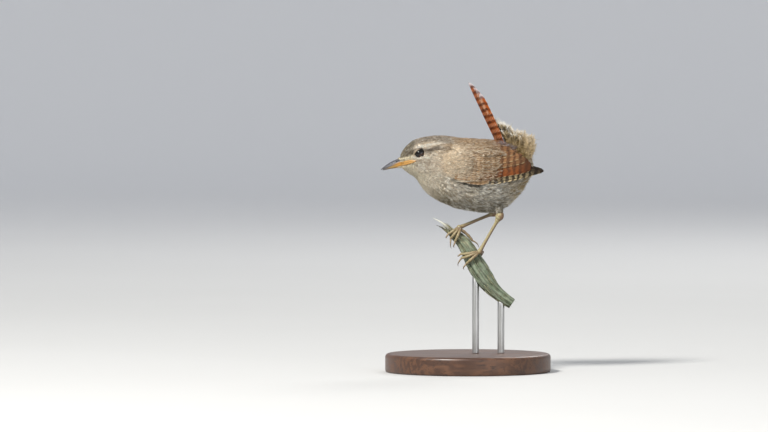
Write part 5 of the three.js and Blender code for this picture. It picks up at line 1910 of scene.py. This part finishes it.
def shank(side, heel):
    """The bare leg from its ankle to the foot, and its plates as (place, out, ahead, size)."""
    ankle = np.array(LEGS[side]["ankle"])
    path = catmull([ankle + [-0.2, 0, 1.2], ankle, ankle * 0.5 + heel * 0.5, heel], 90)
    t = np.linspace(0, 1, 91)
    knob = (ANKLE_RADIUS - TARSUS_RADIUS) * 0.98 * np.exp(-(((t - 0.08) / 0.095) ** 2))
    radius = TARSUS_RADIUS * (1 - 0.08 * np.sin(math.pi * t)) + knob + 0.3 * t**8
    grid = tube_grid(path, radius, 24)
    dull = np.repeat(np.exp(-(((t - 0.08) / 0.07) ** 2)), 24) * 0.6
    pile = Pile()
    pile.add(*closed_grid(grid), mix(round_tint(grid, path), LEG_PINK * [0.9, 0.8, 0.76], dull))
    pile.build(f"shank_skin_{side}", MATERIALS["scaly_skin"], "shank", [f"shank_{side}"])
    ahead = unit(np.gradient(path, axis=0))
    facing = np.array([-1.0, -0.25 if side == "left" else 0.1, 0.1])
    front = unit(facing - ahead * (ahead @ facing)[:, None])
    long = np.linalg.norm(path[80] - path[20]) / 11 * 1.15
    plates = []
    for i in (90 * np.linspace(0.05, 0.94, 16)).astype(int):
        plates.append(
            (path[i] + front[i] * radius[i] * 0.09, front[i], ahead[i], (long, radius[i], radius[i]))
        )
    return plates


def toe(toes, start, end):
    """One toe with its pads and creases, and its plates."""
    rest = TOE_RADIUS - TOE_SINK
    path = catmull(wrap(start, end, (rest + 0.4, rest), 0.12), 54)
    t = np.linspace(0, 1, 55)
    bulge = 0.07 * np.cos(6 * math.pi * t) + 0.03 * np.cos(12 * math.pi * t)
    radius = TOE_RADIUS * (1.02 - 0.22 * t + bulge) * np.interp(t, [0, 0.97, 1], [1, 1, 0.7])
    grid = tube_grid(path, radius, 20)
    # painted shade in the creases between the pads
    crease = np.repeat(ease(0.6, 0.95, np.cos(2 * math.pi * t * 12)), 20)
    toes.add(*closed_grid(grid), mix(round_tint(grid, path), LEG_RED * 0.8, crease * 0.3))
    ahead = unit(np.gradient(path, axis=0))
    out = unit(path - on_stem(np.linspace(start[0], end[0], 55), 0, 0))
    out = unit(out - ahead * (out * ahead).sum(axis=1)[:, None])
    count = max(6, int(distances(path)[-1] / 0.72))
    plates = []
    for i in (54 * np.linspace(0.08, 0.94, count)).astype(int):
        plates.append(
            (path[i] + out[i] * radius[i] * 0.1, out[i], ahead[i], (0.78, radius[i] * 0.98, radius[i]))
        )
    return plates


def claw(name, node, start, end):
    rest = TOE_RADIUS - TOE_SINK - 0.05
    nail = catmull(wrap(start, end, (rest, end[2]), 0.75), 36)
    nail[0] = nail[0] - unit(nail[1] - nail[0]) * 0.3
    t = np.linspace(0, 1, 37)
    radius = CLAW_RADIUS * np.maximum(0.05, (1 - t) ** 0.75) * np.interp(t, [0, 0.08], [0.9, 1])
    pile = Pile()
    pile.add(
        *closed_grid(tube_grid(nail, radius, 16)),
        mix(CLAW_PALE, CLAW_DARK, np.repeat(ease(0.1, 0.85, t), 16)),
    )
    pile.build(name, MATERIALS["horn"], "claw", [node])


def make_legs():
    plates = []
    for side, foot in FEET.items():
        start = foot["heel"]
        heel = on_stem(*start, grip_radius(start[0]) + FOOT_GAP + PAD_RADIUS - 0.1)
        plates += shank(side, heel)
        toes, share = Pile(), np.linspace(-1, 1, 15)
        way = unit(on_stem(start[0] + 1, start[1], 0) - on_stem(*start, 0))
        radius = 1.2 * np.sqrt(np.maximum(0.02, 1 - share**2))
        verts, faces = closed_grid(tube_grid(heel + share[:, None] * way * 1.25, radius, 20))
        toes.add(verts, faces, leg_tint(verts, unit(verts - heel)))
        for number, (end, tip) in enumerate(foot["toes"], 1):
            plates += toe(toes, start, end)
            claw(f"nail_{side}_{number}", f"claw_{side}_{number}", end, tip)
        toes.build(f"toes_{side}", MATERIALS["scaly_skin"], "shank", [f"foot_{side}"])
    return plates


# Repeated small plates and fibres, by Geometry Nodes
class Tree(NodeTree):
    """A Geometry Nodes tree with named inputs."""

    def __init__(self, name, inputs):
        self.tree = bpy.data.node_groups.new(name, "GeometryNodeTree")
        add_socket = self.tree.interface.new_socket
        for label, kind in {"Geometry": "NodeSocketGeometry", **inputs}.items():
            add_socket(label, in_out="INPUT", socket_type=kind)
        add_socket("Geometry", in_out="OUTPUT", socket_type="NodeSocketGeometry")
        self.source = self.add("NodeGroupInput").outputs
        self.end = self.add("NodeGroupOutput")

    def vector(self, name):
        """A vector that each point or vertex carries."""
        kept = self.add("GeometryNodeInputNamedAttribute", {"Name": name}, data_type="FLOAT_VECTOR")
        return kept.outputs["Attribute"]

    def apply(self, holder, values):
        """Runs the tree on an object, which keeps the plain mesh that it gives."""
        modifier = holder.modifiers.new("repeat", "NODES")
        modifier.node_group = self.tree
        for item in self.tree.interface.items_tree:
            if item.in_out == "INPUT" and item.name in values:
                modifier[item.identifier] = values[item.name]
        keep_result(holder)

    def place(self, points, shape, turned, size, material):
        """Puts a shape on each of the points and ends the tree with all of them."""
        inputs = {"Points": points, "Instance": shape, "Rotation": turned, "Scale": size}
        many = self.add("GeometryNodeInstanceOnPoints", inputs)
        real = self.add("GeometryNodeRealizeInstances", {"Geometry": many.outputs[0]})
        inputs = {"Geometry": real.outputs[0], "Material": self.source[material]}
        self.tree.links.new(self.add("GeometryNodeSetMaterial", inputs).outputs[0], self.end.inputs[0])


def points_object(name, points, **attributes):
    mesh = bpy.data.meshes.new(name)
    mesh.from_pydata([tuple(p) for p in np.asarray(points) * MM], [], [])
    for key, values in attributes.items():
        layer = mesh.attributes.new(key, "FLOAT_VECTOR", "POINT")
        layer.data.foreach_set("vector", np.asarray(values, np.float32).ravel())
    made = bpy.data.objects.new(name, mesh)
    bpy.context.scene.collection.objects.link(made)
    return made


def plate_tree():
    """A flattened ball on each point, turned by the point's out and ahead, of its own size."""
    t = Tree("scutes", {"Plate Material": "NodeSocketMaterial"})
    out, ahead, size = (t.vector(name) for name in ("out", "ahead", "size"))
    ball = t.add("GeometryNodeMeshUVSphere", {"Segments": 16, "Rings": 10, "Radius": MM})
    up = t.add("FunctionNodeAlignRotationToVector", {"Vector": out}, axis="Z")
    inputs = {"Rotation": up.outputs[0], "Vector": ahead}
    turned = t.add("FunctionNodeAlignRotationToVector", inputs, axis="X", pivot_axis="Z")
    t.place(t.source["Geometry"], ball.outputs["Mesh"], turned.outputs[0], size, "Plate Material")
    return t


def fibre_tree():
    """Thin fibres scattered over the stem and laid along it."""
    sockets = {"Density": "NodeSocketFloat", "Seed": "NodeSocketInt", "Fibre Material": "NodeSocketMaterial"}
    t = Tree("bark_fibres", sockets)
    density, seed = t.source["Density"], t.source["Seed"]
    inputs = {"Mesh": t.source["Geometry"], "Density": density, "Seed": seed}
    spread = t.add("GeometryNodeDistributePointsOnFaces", inputs)
    inputs = {"Vertices": 5, "Radius Top": 0.01 * MM, "Radius Bottom": 0.1 * MM, "Depth": 4.0 * MM}
    cone = t.add("GeometryNodeMeshCone", inputs)
    laid = t.add("FunctionNodeAlignRotationToVector", {"Vector": t.vector("vane")}, axis="Z")
    inputs = {"Min": (0.5, 0.5, 0.4), "Max": (1.3, 1.3, 1.3), "Seed": seed}
    size = t.add("FunctionNodeRandomValue", inputs, data_type="FLOAT_VECTOR")
    t.place(
        spread.outputs["Points"], cone.outputs["Mesh"], laid.outputs[0], size.outputs[0], "Fibre Material"
    )
    return t


def make_scutes():
    places, out, ahead, size = (np.array(column) for column in zip(*make_legs()))
    holder = points_object("leg_scutes", places, out=out, ahead=ahead, size=size)
    plate_tree().apply(holder, {"Plate Material": MATERIALS["scaly_skin"]})
    smooth_faces(holder.data)
    verts = vertex_places(holder.data)
    # the plates carry the legs' painted light and shade, a little paler
    set_colour(holder, "tint", leg_tint(verts, np.repeat(out, len(verts) // len(out), axis=0)) * 1.06)
    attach(holder, "root")


make_scutes()


def make_fibres():
    sides, rows = 24, 60
    turns = np.tile(np.arange(sides) * 360 / sides, (rows, 1))
    distance = np.tile(np.linspace(2.0, STEM_LENGTH - 3.0, rows)[:, None], (1, sides))
    grid = on_stem(distance, turns, stem_radius(distance) * 1.01)
    faces = ring_faces(rows, sides, cap_start=False, cap_end=False)
    holder = new_object("stem_fibres", grid.reshape(-1, 3), faces, MATERIALS["bark"], body=None)
    set_vector(holder, "vane", unit(np.gradient(grid, axis=0).reshape(-1, 3)))
    fibre_tree().apply(holder, {"Density": 450000.0, "Seed": 4, "Fibre Material": MATERIALS["bark"]})
    straw = ease(0.45, 0.75, noise3(vertex_places(holder.data), 0.5, 44))
    set_colour(holder, "tint", mix(STEM_GREY, STEM_STRAW, straw))
    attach(holder, "root")


make_fibres()


# Display stand
def turned_solid(name, profile, sides, material, slot_name, replaces, centre=(0, 0)):
    """A round solid from its profile of [radius, height] rows."""
    turns = turns_of(sides)
    grid = np.array(
        [[(centre[0] + r * math.cos(a), centre[1] + r * math.sin(a), z) for a in turns] for r, z in profile]
    )
    pile = Pile()
    pile.add(*closed_grid(grid), (1, 1, 1))
    pile.build(name, material, slot_name, replaces)


def wood_material():
    """Dark stained wood with its grain along X."""
    n = Nodes("stained_wood")
    mapping = {"Vector": n.object_place(), "Location": (0.02, 0.5, 0.1), "Scale": (0.9, 15.0, 9.0)}
    place = n.add("ShaderNodeMapping", mapping).outputs[0]
    wave = n.noise(9.0, 3.0, vector=place)
    rings = n.math("SINE", n.math("MULTIPLY", wave, 46.0))
    pores = n.noise(1700.0, 2.0, stretch=(0.035, 1.0, 1.0))
    broad = n.noise(60.0, 2.0, stretch=(0.3, 1.0, 1.0))
    colour = n.mix(seen(66, 42, 28), seen(88, 58, 38), n.ramp(rings, -0.8, 0.95))
    colour = n.mix(colour, seen(104, 70, 46), n.ramp(broad, 0.45, 0.7, 0.0, 0.35))
    colour = n.mix(colour, seen(34, 21, 14), n.ramp(pores, 0.56, 0.7, 0.0, 0.75))
    height = n.math("MULTIPLY_ADD", pores, -1.0, n.math("MULTIPLY", rings, 0.1))
    return n.finish(
        colour, n.ramp(rings, -1, 1, 0.4, 0.48), height, 0.2, 0.00012, Coat_Weight=0.15, Coat_Roughness=0.28
    )


def steel_material():
    n = Nodes("satin_steel")
    grain = n.noise(2600.0, 2.0, stretch=(1.0, 1.0, 0.03))
    colour = n.mix((0.42, 0.42, 0.41), (0.56, 0.56, 0.55), n.ramp(grain, 0.3, 0.7))
    return n.finish(colour, n.ramp(grain, 0.3, 0.7, 0.3, 0.42), grain, 0.1, 0.00002, Metallic=1.0)


MATERIALS["wood"] = wood_material()
MATERIALS["steel"] = steel_material()


def make_stand():
    radius, height, soft = 36.0, 8.0, 1.5
    profile = [[0.01, 0.0], [radius - 0.9, 0.0], [radius - 0.25, 0.25], [radius, 0.9]]
    profile += [[radius, h] for h in (3, 5, height - soft)]
    for a in np.linspace(0, math.pi / 2, 9)[1:]:
        profile.append([radius - soft + soft * math.cos(a), height - soft + soft * math.sin(a)])
    profile += [[r, height] for r in (30, 20, 10, 0.01)]
    turned_solid("base", profile, 160, MATERIALS["wood"], "base", ["stand_base"])
    for place in ("front", "back"):
        low, high = (np.array(corner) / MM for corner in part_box(f"stand_rod_{place}"))
        centre, r = (low + high)[:2] / 2, (high - low)[0] / 2
        rows = [[0.01, low[2] - 0.2], [r, low[2] - 0.2]] + [[r, z] for z in np.linspace(low[2], high[2], 8)]
        rows += [[r - 0.15, high[2] + 0.3], [0.01, high[2] + 0.3]]
        turned_solid(f"rod_{place}", rows, 40, MATERIALS["steel"], "rod", [f"stand_rod_{place}"], centre)


make_stand()


# Stage, light and camera
def studio():
    far, curve, height, sides = 4300.0, 1500.0, 3400.0, 96
    profile = [[r, 0] for r in (1, 300, 900, 1800, far - curve)]
    for turn in np.linspace(0, math.pi / 2, 14)[1:]:
        profile.append([far - curve + curve * math.sin(turn), curve - curve * math.cos(turn)])
    profile.append([far, height])
    turns = turns_of(sides)
    rows = [[[r * math.cos(a), r * math.sin(a), z - 0.0002] for a in turns] for r, z in profile]
    verts = np.array(rows, float).reshape(-1, 3)
    n = Nodes("pale_floor")
    place = n.add("ShaderNodeVectorMath", {0: n.object_place()}, operation="LENGTH").outputs["Value"]
    near = n.mix((0.5, 0.5, 0.49), (0.54, 0.54, 0.53), n.noise(3.0, 3.0))
    # paler with distance from the middle: painted light that makes up for the lamps' light falling off on the
    # far floor and wall
    colour = n.mix(near, (0.9, 0.9, 0.9), n.ramp(place, 0.4, 3.0))
    faces = ring_faces(len(profile), sides, cap_end=False)
    n.link(colour, n.shader.inputs["Base Color"])
    n.shader.inputs["Roughness"].default_value = 0.9
    stage = new_object("studio_floor", verts, faces, n.material, body=None)
    outward(stage)

    def lamp(name, place, size, power, colour=(1, 1, 1)):
        data = bpy.data.lights.new(name, "AREA")
        data.shape, data.size, data.energy, data.color = "DISK", size, power, colour
        made = bpy.data.objects.new(name, data)
        made.location = Vector(place)
        aim = Vector((0, 0, 0.09)) - made.location
        made.rotation_mode = "QUATERNION"
        made.rotation_quaternion = aim.to_track_quat("-Z", "Y")
        bpy.context.scene.collection.objects.link(made)

    lamp("key", (-0.8, -1.05, 1.3), 0.4, 50, (1.0, 0.975, 0.93))
    lamp("fill", (0.9, -1.5, 0.5), 1.2, 7, (0.97, 0.98, 1.0))
    lamp("rim", (0.5, 1.2, 1.1), 0.7, 9, (1.0, 0.99, 0.97))
    world = bpy.data.worlds.new("studio_air")
    world.use_nodes = True
    world.node_tree.nodes["Background"].inputs[0].default_value = (0.85, 0.9, 1.0, 1)
    world.node_tree.nodes["Background"].inputs[1].default_value = 0.45
    bpy.context.scene.world = world

    data = bpy.data.cameras.new("camera")
    data.sensor_width = SENSOR
    data.lens = SENSOR * CAMERA_AWAY / VIEW_WIDTH
    data.clip_start, data.clip_end = 0.05, 20
    camera = bpy.data.objects.new("camera", data)
    rise = math.radians(CAMERA_RISE)
    back = Vector((0, -math.cos(rise), math.sin(rise)))
    camera.location = Vector(VIEW_CENTRE) * MM + back * CAMERA_AWAY * MM
    camera.rotation_mode = "QUATERNION"
    camera.rotation_quaternion = (-back).to_track_quat("-Z", "Y")
    bpy.context.scene.collection.objects.link(camera)
    bpy.context.scene.camera = camera
    bpy.context.scene.view_settings.view_transform = "Standard"


studio()
